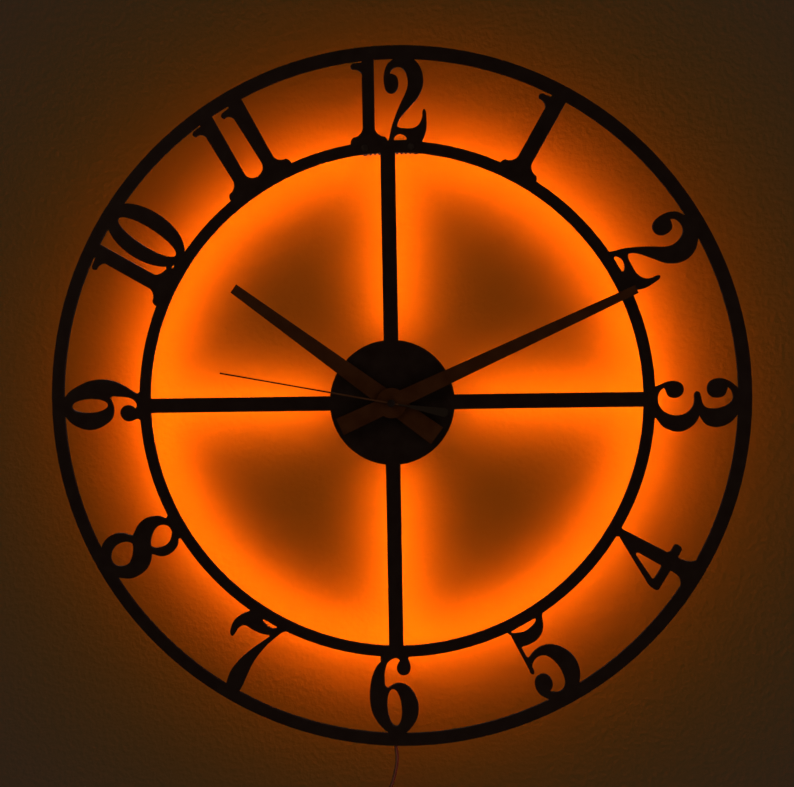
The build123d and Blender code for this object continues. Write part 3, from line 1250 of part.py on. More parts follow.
def lead_inner():
    """Stretch of the lead behind the 6, from the ring strip to the clip."""
    return lead_tube("lead_inner", inner_route())


NODES = [
    dial_plate, hanger_bracket, hanger_rivets, standoff_posts, wall_feet,
    ring_led_strip, ring_leds, spoke_led_strips, spoke_leds, strip_jumpers, hub_jumper,
    movement_gasket, movement_case, case_cover, fixing_washer, fixing_nut,
    battery_cell, battery_contacts, rotor, stator, coil_core, drive_coil, circuit_board,
    intermediate_wheel, seconds_wheel, third_wheel, drive_wheel,
    cannon_pinion, minute_work_wheel, hour_wheel, setting_knob,
    hour_hand, minute_hand, second_hand, second_hand_bush,
    lead_inner, lead_clip, power_lead, lead_coil, coil_tie, dc_plug, plug_barrel,
]

os.makedirs("parts", exist_ok=True)
for make in NODES:
    export_step(make(), "parts/" + make.__name__ + ".step")
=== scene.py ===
"""Backlit skeleton wall clock, dressed over its CAD model. Metres, +Z up, the dial faces -Y."""
import logging
import math
from dataclasses import dataclass, replace
from enum import Enum
from typing import Any, Callable, Sequence

import bmesh
import bpy
from mathutils import Matrix, Vector


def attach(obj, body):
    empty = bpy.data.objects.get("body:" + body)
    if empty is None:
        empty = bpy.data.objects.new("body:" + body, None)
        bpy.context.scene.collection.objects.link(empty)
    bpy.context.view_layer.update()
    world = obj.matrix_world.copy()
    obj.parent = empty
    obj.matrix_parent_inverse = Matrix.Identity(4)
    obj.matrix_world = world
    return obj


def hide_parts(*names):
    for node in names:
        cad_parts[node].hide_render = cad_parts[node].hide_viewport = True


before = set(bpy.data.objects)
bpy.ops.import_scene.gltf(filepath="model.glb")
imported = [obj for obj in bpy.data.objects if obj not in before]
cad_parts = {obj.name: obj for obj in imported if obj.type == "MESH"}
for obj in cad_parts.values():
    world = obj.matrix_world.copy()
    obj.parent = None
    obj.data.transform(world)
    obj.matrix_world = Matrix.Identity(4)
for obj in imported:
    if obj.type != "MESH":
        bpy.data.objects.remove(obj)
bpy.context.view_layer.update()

LOG = logging.getLogger("clock")
MM = 0.001
ARBOR_UP = -220.0
RIGHT, INTO, UP = (1, 0, 0), (0, 1, 0), (0, 0, 1)
NOISE_SPAN = (0.3, 0.7)
PATCH_DETAIL = 4.0
LINE_DETAIL = 3.0
SMOOTH_DEG = 35
SQUARE_ON = 0.9
DOUBLES = 1e-6
RING_RADIUS = 216.4
RING_COUNT = 78
RING_START, RING_STEP = 96.8, 346.4 / RING_COUNT
SPOKE_START, SPOKE_STEP = 60.0, 17.5
GROUP = 3
Colour = tuple[float, float, float]
Sizes = tuple[float, ...]
Rings = Sequence[tuple[float, float]]
Item = bpy.types.Object


def at(across: float, stand: float, up: float) -> Vector:
    """Point of the scene from millimetres right of the arbor, out from the wall and above the arbor."""
    return Vector((across, -stand, up + ARBOR_UP)) * MM


def on_dial(radius: float, direction: float, stand: float, beside: float = 0.0) -> Vector:
    """Point by radius, direction in degrees counter-clockwise from three, and a step left of that line."""
    a = math.radians(direction)
    return at(radius * math.cos(a) - beside * math.sin(a), stand,
              radius * math.sin(a) + beside * math.cos(a))


def operator(operation: str, swapped: bool = False) -> Callable[..., "Socket"]:
    """Makes an operator of Socket.

    Args:
        operation: Operation of the Math node that it adds.
        swapped: The other value comes first if true.

    Returns:
        The operator.
    """
    def added(value: "Socket", *others: Any) -> "Socket":
        """Adds the node."""
        return value.maths(operation, *((*others, value) if swapped else (value, *others)))
    return added


class Socket:
    """One value in a material. Operators on it add Math nodes."""

    def __init__(self, paint: "Paint", socket: bpy.types.NodeSocket) -> None:
        """Keeps the socket and the material that it is in."""
        self.paint = paint
        self.socket = socket

    def maths(self, operation: str, *values: Any) -> "Socket":
        """Adds one Math node, fed with numbers or sockets."""
        return self.paint.node("Math", {"operation": operation}, dict(enumerate(values)))

    __add__ = __radd__ = operator("ADD")
    __sub__ = operator("SUBTRACT")
    __rsub__ = operator("SUBTRACT", swapped=True)
    __mul__ = __rmul__ = operator("MULTIPLY")
    __truediv__ = operator("DIVIDE")
    __mod__ = operator("FLOORED_MODULO")
    __pow__ = operator("POWER")
    __lt__ = operator("LESS_THAN")
    __gt__ = operator("GREATER_THAN")
    __abs__ = operator("ABSOLUTE")

    def wave(self, pitch: float) -> "Socket":
        """A sine of this, once each pitch."""
        turn = self * (2 * math.pi / pitch)
        return self.maths("SINE", turn)

    def held(self, low: float, high: float) -> "Socket":
        """Stretches low..high to 0..1 and holds what lies outside it."""
        return self.paint.node("MapRange", {}, {"Value": self, "From Min": low, "From Max": high})


class Paint:
    """A material or world under construction."""

    def __init__(self, holder: bpy.types.ID, shader: str = "Principled BSDF") -> None:
        """Starts on a holder's own nodes.

        Args:
            holder: A material or a world.
            shader: Name of its shader node.
        """
        holder.use_nodes = True
        self.holder, self.tree = holder, holder.node_tree
        self.shader = self.tree.nodes[shader]

    def put(self, target: bpy.types.NodeSocket, value: Any) -> None:
        """Links a socket to an input, or sets the input to a constant.

        Args:
            target: The input.
            value: A Socket, a number, or a colour or vector.
        """
        if isinstance(value, Socket):
            self.tree.links.new(value.socket, target)
        elif target.type == "RGBA" and len(value) == 3:
            target.default_value = (*value, 1.0)
        else:
            target.default_value = value

    def node(self, kind: str, settings: dict[str, Any], inputs: dict[Any, Any], output: Any = 0) -> Socket:
        """Adds any node.

        Args:
            kind: The node's type without its ShaderNode prefix.
            settings: Its own settings, set before its inputs.
            inputs: Values or links by socket name or number.
            output: Name or number of the output that is wanted.

        Returns:
            That output.
        """
        made = self.tree.nodes.new("ShaderNode" + kind)
        for key, value in settings.items():
            setattr(made, key, value)
        for key, value in inputs.items():
            self.put(made.inputs[key], value)
        return Socket(self, made.outputs[output])

    def place(self) -> Socket:
        """The point on the surface, in the clock's frame."""
        return self.node("TexCoord", {}, {}, "Object")

    def dot(self, axis: Sequence[float]) -> Socket:
        """The surface point's distance along an axis."""
        return self.node("VectorMath", {"operation": "DOT_PRODUCT"}, {0: self.place(), 1: axis}, "Value")

    def from_arbor(self) -> tuple[Socket, Socket]:
        """How far the surface point is right of and above the arbor."""
        return self.dot(RIGHT), self.dot(UP) - ARBOR_UP * MM

    def radius(self) -> Socket:
        """How far the surface point is from the arbor's axis."""
        right, high = self.from_arbor()
        return (right * right + high * high) ** 0.5

    def noise(self, size: float, where: "Socket | None" = None, detail: float = 2.0) -> Socket:
        """Soft noise of about 0..1 with lumps of a size in metres, read at the surface point or elsewhere."""
        inputs = {"Vector": where or self.place(), "Scale": 1 / size, "Detail": detail}
        return self.node("TexNoise", {}, inputs).held(*NOISE_SPAN)

    def mix(self, first: Any, second: Any, share: Any) -> Socket:
        """Mixes two colours, the first at share 0 and the second at share 1."""
        return self.node("Mix", {"data_type": "RGBA"}, {0: share, 6: first, 7: second}, 2)

    def bump(self, height: Socket, depth: float) -> Socket:
        """Turns a height of 0..1, so many metres deep, into a normal."""
        return self.node("Bump", {}, {"Strength": 1.0, "Distance": depth, "Height": height}, "Normal")

    def blend(self, share: Socket, other: Socket, output: str) -> None:
        """Mixes a share of another shader into what an output node takes."""
        shaders = {0: share, 1: Socket(self, self.shader.outputs[0]), 2: other}
        self.put(self.tree.nodes[output].inputs["Surface"], self.node("MixShader", {}, shaders))

    def done(self, **values: Any) -> bpy.types.ID:
        """Feeds the shader.

        Args:
            values: Inputs by name, with _ for a space.

        Returns:
            The finished material or world.
        """
        for key, value in values.items():
            self.put(self.shader.inputs[key.replace("_", " ")], value)
        return self.holder


@dataclass(frozen=True)
class Finish:
    """A surface of two tones in soft patches with a fine relief, such as coated metal or moulded plastic."""

    name: str
    dark: Colour
    light: Colour
    rough: Sizes = (0.4, 0.6)
    metallic: float = 0.0
    specular: float = 0.5
    sheen: Colour = (1.0, 1.0, 1.0)
    patch: float = 0.012
    grain: float = 0.0007
    relief: float = 0.00003

    def tone(self, paint: Paint) -> Socket:
        """How light the surface is, 0..1."""
        return paint.noise(self.patch, detail=PATCH_DETAIL)

    def height(self, paint: Paint) -> Socket:
        """The relief's height, 0..1."""
        return paint.noise(self.grain)

    def colour(self, paint: Paint, tone: Socket) -> Socket:
        """The base colour for a tone."""
        return paint.mix(self.dark, self.light, tone)

    def painted(self, paint: Paint) -> bpy.types.Material:
        """Fills a new material.

        Args:
            paint: The material under construction.

        Returns:
            The material.
        """
        tone = self.tone(paint)
        low, high = self.rough
        height = self.height(paint)
        spread = (tone + height) * (0.5 * (high - low)) + low
        return paint.done(
            Base_Color=self.colour(paint, tone), Roughness=spread, Metallic=self.metallic,
            Specular_IOR_Level=self.specular, Specular_Tint=self.sheen,
            Normal=paint.bump(height, self.relief))

    def material(self) -> bpy.types.Material:
        """The material, made at its first use."""
        return bpy.data.materials.get(self.name) or self.painted(Paint(bpy.data.materials.new(self.name)))


@dataclass(frozen=True)
class Brushed(Finish):
    """Metal or lacquer with a grain along one direction of the dial."""

    clock_deg: float = 0.0
    stretch: float = 40.0

    def along(self, paint: Paint, turn: float = 0.0) -> Socket:
        """Distance along the grain, or along a direction that is turned from it."""
        a = math.radians(self.clock_deg + turn)
        return paint.dot((math.sin(a), 0, math.cos(a)))

    def height(self, paint: Paint) -> Socket:
        """Long fine lines along the direction."""
        ways = {0: self.along(paint) / self.stretch, 1: self.along(paint, 90), 2: paint.dot(INTO)}
        return paint.noise(self.grain, paint.node("CombineXYZ", {}, ways), LINE_DETAIL)


@dataclass(frozen=True)
class TwoTone(Brushed):
    """A hand whose tail is darker than its blade."""

    tail: Colour = (0.0042, 0.0028, 0.0017)
    from_arbor: float = 0.006

    def colour(self, paint: Paint, tone: Socket) -> Socket:
        """Blade colour past the arbor, tail colour behind it."""
        past = self.along(paint) - ARBOR_UP * MM * math.cos(math.radians(self.clock_deg))
        return paint.mix(super().colour(paint, tone), self.tail, past < -self.from_arbor)


@dataclass(frozen=True)
class Turned(Finish):
    """Metal turned on a lathe about the arbor."""

    pitch: float = 0.0003
    ridge: float = 0.35
    waver: float = 0.3

    def height(self, paint: Paint) -> Socket:
        """Rings of the tool, uneven in depth."""
        rings = paint.radius().wave(self.pitch)
        return rings * self.ridge + self.ridge + paint.noise(self.grain) * self.waver


@dataclass(frozen=True)
class Spangled(Finish):
    """Zinc coat with crystal flakes."""

    def tone(self, paint: Paint) -> Socket:
        """One tone for each flake."""
        cells = paint.node("TexVoronoi", {}, {"Vector": paint.place(), "Scale": 1 / self.patch}, "Color")
        return paint.node("SeparateColor", {}, {"Color": cells}, 0)


class StripLay(Enum):
    """How a light strip runs on the plate."""

    RING = "ring"
    SPOKES = "spokes"


@dataclass(frozen=True)
class StripFace(Finish):
    """Black strip with copper pads and a dashed mark where it may be cut, every three lights."""

    lay: StripLay = StripLay.RING
    copper: Colour = (0.55, 0.24, 0.09)
    mark: Colour = (0.6, 0.6, 0.58)
    start: float = RING_START
    step: float = RING_STEP
    pitch: float = 0.01677
    middle: float = RING_RADIUS * MM
    pad_long: float = 0.0024
    pad_out: float = 0.0016
    pad_half: float = 0.0009
    dash_half: float = 0.00022
    dashes_per_metre: float = 2500.0
    dash_share: float = 0.6
    trace_out: float = 1.35
    trace_half: float = 0.00025
    trace_share: float = 0.18

    def colour(self, paint: Paint, tone: Socket) -> Socket:
        """Black with copper pads, traces and pale cut marks.

        Args:
            paint: The material under construction.
            tone: How light the surface is, 0..1.

        Returns:
            The base colour.
        """
        right, high = paint.from_arbor()
        if self.lay is StripLay.RING:
            turn = high.maths("ARCTAN2", high, right) * (180 / math.pi)
            count = ((turn - self.start) % 360.0) / self.step
            beside = abs(paint.radius() - self.middle)
        else:
            far = right.maths("MAXIMUM", abs(right), abs(high))
            count = (far - self.start * MM) / (self.step * MM)
            beside = right.maths("MINIMUM", abs(right), abs(high))
        part = count % GROUP
        gap = part.maths("MINIMUM", part, GROUP - part) * self.pitch
        pad = (gap < self.pad_long) * (abs(beside - self.pad_out) < self.pad_half)
        dash = (gap < self.dash_half) * ((beside * self.dashes_per_metre) % 1.0 < self.dash_share)
        trace = (abs(beside - self.pad_out * self.trace_out) < self.trace_half) * self.trace_share
        traced = paint.mix(super().colour(paint, tone), self.copper, trace)
        return paint.mix(paint.mix(traced, self.copper, pad), self.mark, dash)


@dataclass(frozen=True)
class Wound(Finish):
    """Winding of fine wire across a bobbin that lies along X."""

    pitch: float = 0.00022

    def height(self, paint: Paint) -> Socket:
        """One ridge for each turn of wire."""
        return paint.dot(RIGHT).wave(self.pitch) * 0.5 + 0.5


@dataclass(frozen=True)
class Sleeve(Finish):
    """Printed sleeve of a cell along X: a dark body with a bright band at one end."""

    band: Colour = (0.62, 0.30, 0.10)
    from_x: float = 0.0085

    def colour(self, paint: Paint, tone: Socket) -> Socket:
        """Dark sleeve, bright band."""
        return paint.mix(super().colour(paint, tone), self.band, paint.dot(RIGHT) > self.from_x)


@dataclass(frozen=True)
class Board(Finish):
    """Circuit board with paler traces under its lacquer."""

    track: float = 0.0016
    track_share: float = 0.35
    lump: float = 0.004

    def tone(self, paint: Paint) -> Socket:
        """Straight traces in two directions."""
        right, high = ((paint.dot(way) / self.track) % 1.0 < self.track_share for way in (RIGHT, UP))
        return right.maths("MAXIMUM", right, high * paint.noise(self.lump))


@dataclass(frozen=True)
class Twin(Finish):
    """Twin lead: one brown and one red wire with a pale web between them, the pale middle band also a painted
    highlight along the lead.
    """

    red: Colour = (0.050, 0.0040, 0.0030)
    web_and_highlight: Colour = (0.07, 0.022, 0.012)
    web_and_highlight_half: float = 0.11

    def colour(self, paint: Paint, tone: Socket) -> Socket:
        """Brown on the left, red on the right, pale in the middle: the web between the wires and a painted
        highlight.

        Args:
            paint: The material under construction.
            tone: How light the surface is, 0..1.

        Returns:
            The base colour.
        """
        across = paint.node("SeparateXYZ", {}, {0: paint.node("UVMap", {}, {})}, "X") - 0.5
        pair = paint.mix(super().colour(paint, tone), self.red, across > 0.0)
        # Painted highlight: the pale middle band is both the web between the wires and a highlight painted
        # along the lead's middle.
        return paint.mix(pair, self.web_and_highlight, abs(across) < self.web_and_highlight_half)


@dataclass(frozen=True)
class Lens(Finish):
    """Lit lens of a light diode, which shines only from its face."""

    rough: Sizes = (0.2, 0.3)
    strength: float = 300.0
    rim: Colour = (0.0, 0.0, 0.0)
    face_from: float = 0.85

    def painted(self, paint: Paint) -> bpy.types.Material:
        """Fills a new lit material.

        Args:
            paint: The material under construction.

        Returns:
            The material.
        """
        glow = self.colour(paint, paint.noise(self.patch))
        low, high = self.rough
        out = paint.node("SeparateXYZ", {}, {0: paint.node("NewGeometry", {}, {}, "Normal")}, "Y")
        return paint.done(
            Base_Color=glow, Roughness=paint.noise(self.grain) * (high - low) + low,
            Emission_Color=paint.mix(self.rim, glow, out > self.face_from), Emission_Strength=self.strength)


# Painted reflection: this specular tint turns the reflections on the dark finishes orange, standing in for
# the clock's orange glow reflected in them.
PAINTED_WARM_REFLECTION: Colour = (1.0, 0.35, 0.2)

PLATE_BLACK = Finish("plate_powder_coat", (0.0016, 0.0008, 0.0005), (0.0032, 0.0018, 0.0012),
                     (0.55, 0.7), specular=0.02, sheen=PAINTED_WARM_REFLECTION, grain=0.0011, relief=0.00006)
# Painted shade: the hanger's zinc is coloured far darker than bare zinc, standing in for the shadow it sits
# in against the wall.
ZINC_PAINTED_SHADE = Spangled("hanger_zinc_painted_shade", (0.022, 0.018, 0.014), (0.062, 0.052, 0.042), (0.45, 0.65), 1.0, patch=0.0035)
RIVET_BLACK = Finish("rivet_black", (0.002, 0.0012, 0.0009), (0.007, 0.0045, 0.003), (0.4, 0.55),
                     specular=0.02, sheen=PAINTED_WARM_REFLECTION, patch=0.002)
POST_COAT = Finish("post_coat", (0.005, 0.004, 0.0035), (0.010, 0.008, 0.007), (0.45, 0.6), specular=0.2)
RUBBER = Finish("foot_rubber", (0.012, 0.012, 0.012), (0.030, 0.029, 0.028), (0.7, 0.9), specular=0.3,
                grain=0.0004)
RING_STRIP = StripFace("ring_strip_face", (0.012, 0.012, 0.012), (0.024, 0.023, 0.022), (0.3, 0.5))
SPOKE_STRIP = replace(RING_STRIP, name="spoke_strip_face", lay=StripLay.SPOKES, start=SPOKE_START,
                      step=SPOKE_STEP, pitch=SPOKE_STEP * MM, pad_out=0.0021)
# Painted light: the diode bodies are tinted amber, standing in for the amber light of the lenses falling on
# them.
LED_BODY_PAINTED_AMBER_LIGHT = Finish("led_body_painted_amber_light", (0.62, 0.46, 0.20), (0.74, 0.58, 0.28), (0.3, 0.5), patch=0.003, grain=0.0003)
RING_LENS = Lens("ring_led_lens", (1.0, 0.106, 0.0003), (1.0, 0.118, 0.0006), patch=0.002, strength=575.0)
SPOKE_LENS = replace(RING_LENS, name="spoke_led_lens", dark=(1.0, 0.112, 0.0003), light=(1.0, 0.124, 0.0006),
                     strength=565.0)
RED_WIRE = Finish("jumper_red", (0.26, 0.012, 0.010), (0.40, 0.024, 0.018), (0.3, 0.45), patch=0.006)
CASE_BLACK = Finish("case_plastic", (0.010, 0.010, 0.011), (0.020, 0.020, 0.021), (0.38, 0.55),
                    specular=0.4, grain=0.0004, relief=0.00004)
COVER_GREY = Finish("cover_plastic", (0.014, 0.014, 0.015), (0.026, 0.026, 0.027), (0.42, 0.6),
                    specular=0.4, grain=0.0005, relief=0.00005)
BRASS = Turned("nut_brass", (0.50, 0.33, 0.10), (0.72, 0.52, 0.20), (0.22, 0.40), 1.0)
CELL = Sleeve("cell_print", (0.012, 0.012, 0.013), (0.022, 0.022, 0.023), (0.2, 0.32), relief=0.00001)
SPRING = Brushed("contact_steel", (0.42, 0.41, 0.40), (0.66, 0.65, 0.63), (0.2, 0.36), 1.0, grain=0.0002)
MAGNET = Finish("rotor_magnet", (0.05, 0.05, 0.055), (0.10, 0.10, 0.105), (0.4, 0.6), 0.6, patch=0.002)
IRON = Brushed("stator_iron", (0.24, 0.23, 0.22), (0.40, 0.39, 0.37), (0.32, 0.5), 1.0, grain=0.0002)
COPPER = Wound("winding_copper", (0.55, 0.22, 0.08), (0.75, 0.34, 0.14), (0.22, 0.38), 0.9)
BOARD = Board("board_lacquer", (0.010, 0.085, 0.035), (0.030, 0.16, 0.07), (0.25, 0.4))
NYLON = Finish("wheel_nylon", (0.62, 0.61, 0.57), (0.76, 0.75, 0.71), (0.35, 0.5), patch=0.004, grain=0.0003)
HOUR_LACQUER = Brushed("hour_hand_lacquer", (0.0080, 0.0020, 0.0004), (0.0125, 0.0036, 0.0009), (0.38, 0.55),
                       specular=0.03, sheen=PAINTED_WARM_REFLECTION, grain=0.0004, relief=0.00002, clock_deg=306.7)
MINUTE_LACQUER = replace(HOUR_LACQUER, name="minute_hand_lacquer", clock_deg=65.9)
SECOND_LACQUER = TwoTone("second_hand_lacquer", (0.014, 0.0045, 0.0014), (0.022, 0.0080, 0.0032), (0.3, 0.45),
                         specular=0.03, sheen=PAINTED_WARM_REFLECTION, grain=0.0003, relief=0.00001, clock_deg=280.7)
BUSH_BLACK = Turned("second_bush", (0.0018, 0.0010, 0.0007), (0.0055, 0.0034, 0.0026), (0.15, 0.3),
                    specular=0.015, sheen=PAINTED_WARM_REFLECTION)
LEAD = Twin("lead_twin", (0.019, 0.0055, 0.0022), (0.032, 0.0095, 0.0042), (0.34, 0.5),
            specular=0.02, sheen=PAINTED_WARM_REFLECTION, patch=0.01)
STRAP = Finish("tie_strap", (0.010, 0.010, 0.010), (0.026, 0.025, 0.024), (0.75, 0.95), specular=0.25,
               patch=0.002, grain=0.00035, relief=0.0002)
PLUG_BLACK = Finish("plug_plastic", (0.012, 0.012, 0.012), (0.024, 0.023, 0.022), (0.4, 0.55), grain=0.0004)
BRIGHT = Brushed("plug_nickel", (0.55, 0.54, 0.52), (0.78, 0.77, 0.74), (0.14, 0.28), 1.0, grain=0.0002)
SOLDER = Finish("solder", (0.45, 0.45, 0.44), (0.68, 0.68, 0.66), (0.18, 0.34), 1.0, patch=0.001)
CHIP = Finish("resistor_body", (0.012, 0.012, 0.013), (0.035, 0.035, 0.036), (0.3, 0.45), patch=0.001)


def wear(item: Item, finish: Finish) -> None:
    """Gives an object a finish and no other."""
    item.data.materials.clear()
    item.data.materials.append(finish.material())


def dress(finish: Finish, *nodes: str) -> None:
    """Gives CAD nodes a finish.

    Args:
        finish: The finish.
        nodes: Names of the nodes.
    """
    for name in nodes:
        wear(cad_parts[name], finish)
        LOG.info("%s wears %s", name, finish.name)


class Piece:
    """A new mesh, modelled with operators, that ends as one object at the origin."""

    def __init__(self, name: str) -> None:
        """Takes the object that was just added."""
        self.item = bpy.context.object
        self.item.name = self.item.data.name = name

    @staticmethod
    def clear() -> None:
        """Leaves edit mode and deselects everything."""
        if bpy.context.object and bpy.context.object.mode != "OBJECT":
            bpy.ops.object.mode_set(mode="OBJECT")
        bpy.ops.object.select_all(action="DESELECT")

    @staticmethod
    def edit_all() -> None:
        """Enters edit mode with everything selected."""
        bpy.ops.object.mode_set(mode="EDIT")
        bpy.ops.mesh.select_all(action="SELECT")

    @classmethod
    def turned(cls, name: str, stations: Rings, sides: int = 24) -> "Piece":
        """Draws a disc out along +Z, ring by ring.

        Args:
            name: The piece's name.
            stations: Radius and height of each ring, in millimetres.
            sides: Sides of each ring.

        Returns:
            The piece, its first ring at the height it says.
        """
        cls.clear()
        radius, height = stations[0]
        bpy.ops.mesh.primitive_circle_add(
            vertices=sides, radius=radius * MM, fill_type="NGON", location=(0, 0, height * MM))
        piece = cls(name).applied()
        cls.edit_all()
        for wide, high in stations[1:]:
            bpy.ops.mesh.extrude_region_move(TRANSFORM_OT_translate={"value": (0, 0, (high - height) * MM)})
            share = wide / radius
            bpy.ops.transform.resize(value=(share, share, 1), center_override=(0, 0, high * MM))
            radius, height = wide, high
        return piece.closed()

    @classmethod
    def block(cls, name: str, size: Sequence[float], edge: float) -> "Piece":
        """Makes a block with rounded edges, its middle at the origin.

        Args:
            name: The piece's name.
            size: Its sides in millimetres.
            edge: How far its edges are rounded, in millimetres.

        Returns:
            The piece.
        """
        cls.clear()
        bpy.ops.mesh.primitive_cube_add(size=1)
        piece = cls(name).sized(*size)
        cls.edit_all()
        bpy.ops.mesh.bevel(offset=edge * MM, segments=2, affect="EDGES")
        return piece.closed()

    @classmethod
    def hoop(cls, name: str, ring: Sizes, sides: int = 48) -> "Piece":
        """Spins a rounded rectangle about Z.

        Args:
            name: The piece's name.
            ring: Inner and outer radius, lower and upper end, and rounding, in millimetres.
            sides: Steps of the spin.

        Returns:
            The piece.
        """
        inner, outer, low, high, edge = ring
        cls.clear()
        middle = ((inner + outer) / 2 * MM, 0, (low + high) / 2 * MM)
        bpy.ops.mesh.primitive_plane_add(size=1, location=middle, rotation=(math.pi / 2, 0, 0))
        piece = cls(name).sized(outer - inner, high - low, 1)
        cls.edit_all()
        bpy.ops.mesh.bevel(offset=edge * MM, segments=3, affect="VERTICES")
        cls.edit_all()
        bpy.ops.mesh.delete(type="ONLY_FACE")
        cls.edit_all()
        bpy.ops.mesh.spin(steps=sides, angle=2 * math.pi, center=(0, 0, 0), axis=UP)
        return piece.closed()

    def chosen(self, *others: Item) -> None:
        """Selects this piece and makes it the active one.

        Args:
            others: Objects that are selected with it.
        """
        self.clear()
        for item in (self.item, *others):
            item.select_set(True)
        bpy.context.view_layer.objects.active = self.item

    def applied(self) -> "Piece":
        """Moves the object's place, turn and scale into its mesh."""
        bpy.ops.object.transform_apply(location=True, rotation=True, scale=True)
        return self

    def sized(self, *sides: float) -> "Piece":
        """Stretches a mesh of unit size to its sides in millimetres."""
        self.item.scale = [side * MM for side in sides]
        return self.applied()

    def pick(self, test: Callable[[Vector], bool], kind: str = "FACE") -> None:
        """Selects faces by their normal, or edges by their direction, in edit mode.

        Args:
            test: True for what is to be selected.
            kind: FACE or EDGE.
        """
        bpy.ops.object.mode_set(mode="EDIT")
        bpy.ops.mesh.select_mode(type=kind)
        bpy.ops.mesh.select_all(action="DESELECT")
        shell = bmesh.from_edit_mesh(self.item.data)
        if kind == "FACE":
            for face in shell.faces:
                face.select_set(test(face.normal))
        else:
            for edge in shell.edges:
                first, last = (corner.co for corner in edge.verts)
                edge.select_set(test((last - first).normalized()))
        shell.select_flush_mode()
        bmesh.update_edit_mesh(self.item.data)

    def walled(self, thick: float, edge: float) -> "Piece":
        """Gives a surface its thickness, inwards, and rounds its edges.

        Args:
            thick: Thickness in millimetres.
            edge: How far the edges are rounded, in millimetres.

        Returns:
            The same piece.
        """
        wall = self.item.modifiers.new("wall", "SOLIDIFY")
        wall.thickness = thick * MM
        wall.offset = -1
        soft = self.item.modifiers.new("soft_edge", "BEVEL")
        soft.width = edge * MM
        soft.segments = 2
        for name in (wall.name, soft.name):
            bpy.ops.object.modifier_apply(modifier=name)
        return self

    def joined(self, other: "Piece") -> "Piece":
        """Takes another piece into this one.

        Args:
            other: The other piece.

        Returns:
            This piece.
        """
        self.chosen(other.item)
        bpy.ops.object.join()
        return self

    def closed(self) -> "Piece":
        """Merges doubles, turns the faces outwards and leaves edit mode.

        Returns:
            The same piece.
        """
        self.edit_all()
        bpy.ops.mesh.remove_doubles(threshold=DOUBLES)
        bpy.ops.mesh.normals_make_consistent(inside=False)
        bpy.ops.object.mode_set(mode="OBJECT")
        return self

    def moved(self, matrix: Matrix) -> "Piece":
        """Puts the mesh in its place.

        Args:
            matrix: Where it goes.

        Returns:
            The same piece.
        """
        self.chosen()
        self.item.matrix_world = matrix @ self.item.matrix_world
        return self.applied()

    def repeated(self, places: Sequence[Matrix]) -> "Piece":
        """Copies the piece to many places and joins the copies.

        Args:
            places: Where each copy goes.

        Returns:
            The same piece, now all the copies.
        """
        copies = []
        for matrix in places[1:]:
            copy = self.item.copy()
            copy.data = self.item.data.copy()
            bpy.context.collection.objects.link(copy)
            copy.data.transform(matrix)
            copies.append(copy)
        self.item.data.transform(places[0])
        self.chosen(*copies)
        bpy.ops.object.join()
        return self

    def finished(self, finish: Finish, slot: str, body: str = "frame",
                 replaces: Sequence[str] = ()) -> Item:
        """Dresses the piece and hands it to its body.

        Args:
            finish: The finish.
            slot: The record's material slot; not used.
            body: The body that it moves with.
            replaces: CAD nodes that it stands for.

        Returns:
            The finished object.
        """
        self.chosen()
        bpy.ops.object.shade_smooth_by_angle(angle=math.radians(SMOOTH_DEG))
        wear(self.item, finish)
        if replaces:
            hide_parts(*replaces)
        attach(self.item, body)
        LOG.info("%s: %d faces on %s", self.item.name, len(self.item.data.polygons), body)
        return self.item


def facing(point: Vector, direction: float = 0.0, front: bool = False) -> Matrix:
    """Places a piece that was made along +Z on the clock.

    Args:
        point: Where its origin goes.
        direction: Where its X axis points, in degrees from three o'clock, counter-clockwise.
        front: Its Z axis points at the viewer if true, otherwise at the wall.

    Returns:
        The placing matrix.
    """
    way = 1 if front else -1
    lean = Matrix.Rotation(math.radians(90 * way), 4, "X")
    return Matrix.Translation(point) @ lean @ Matrix.Rotation(math.radians(direction * way), 4, "Z")


def around(spots: Rings, stand: float, heading: float = 0.0) -> list[Matrix]:
    """Places facing the wall by radius and direction, with X along the radius or turned from it."""
    return [facing(on_dial(radius, turn, stand), turn + heading) for radius, turn in spots]


def linked(data: bpy.types.ID) -> Item:
    """Adds an object.

    Args:
        data: Its mesh, curve, lamp or camera, which it is named after.

    Returns:
        The object.
    """
    item = bpy.data.objects.new(data.name, data)
    bpy.context.scene.collection.objects.link(item)
    return item


def aimed(data: bpy.types.ID, place: Sizes, target: Vector) -> Item:
    """Adds a lamp or camera that looks at a target.

    Args:
        data: The lamp or camera.
        place: Where it stands.
        target: What it looks at.

    Returns:
        Its object.
    """
    item = linked(data)
    item.location = place
    item.rotation_mode = "QUATERNION"
    item.rotation_quaternion = (target - Vector(place)).to_track_quat("-Z", "Y")
    return item


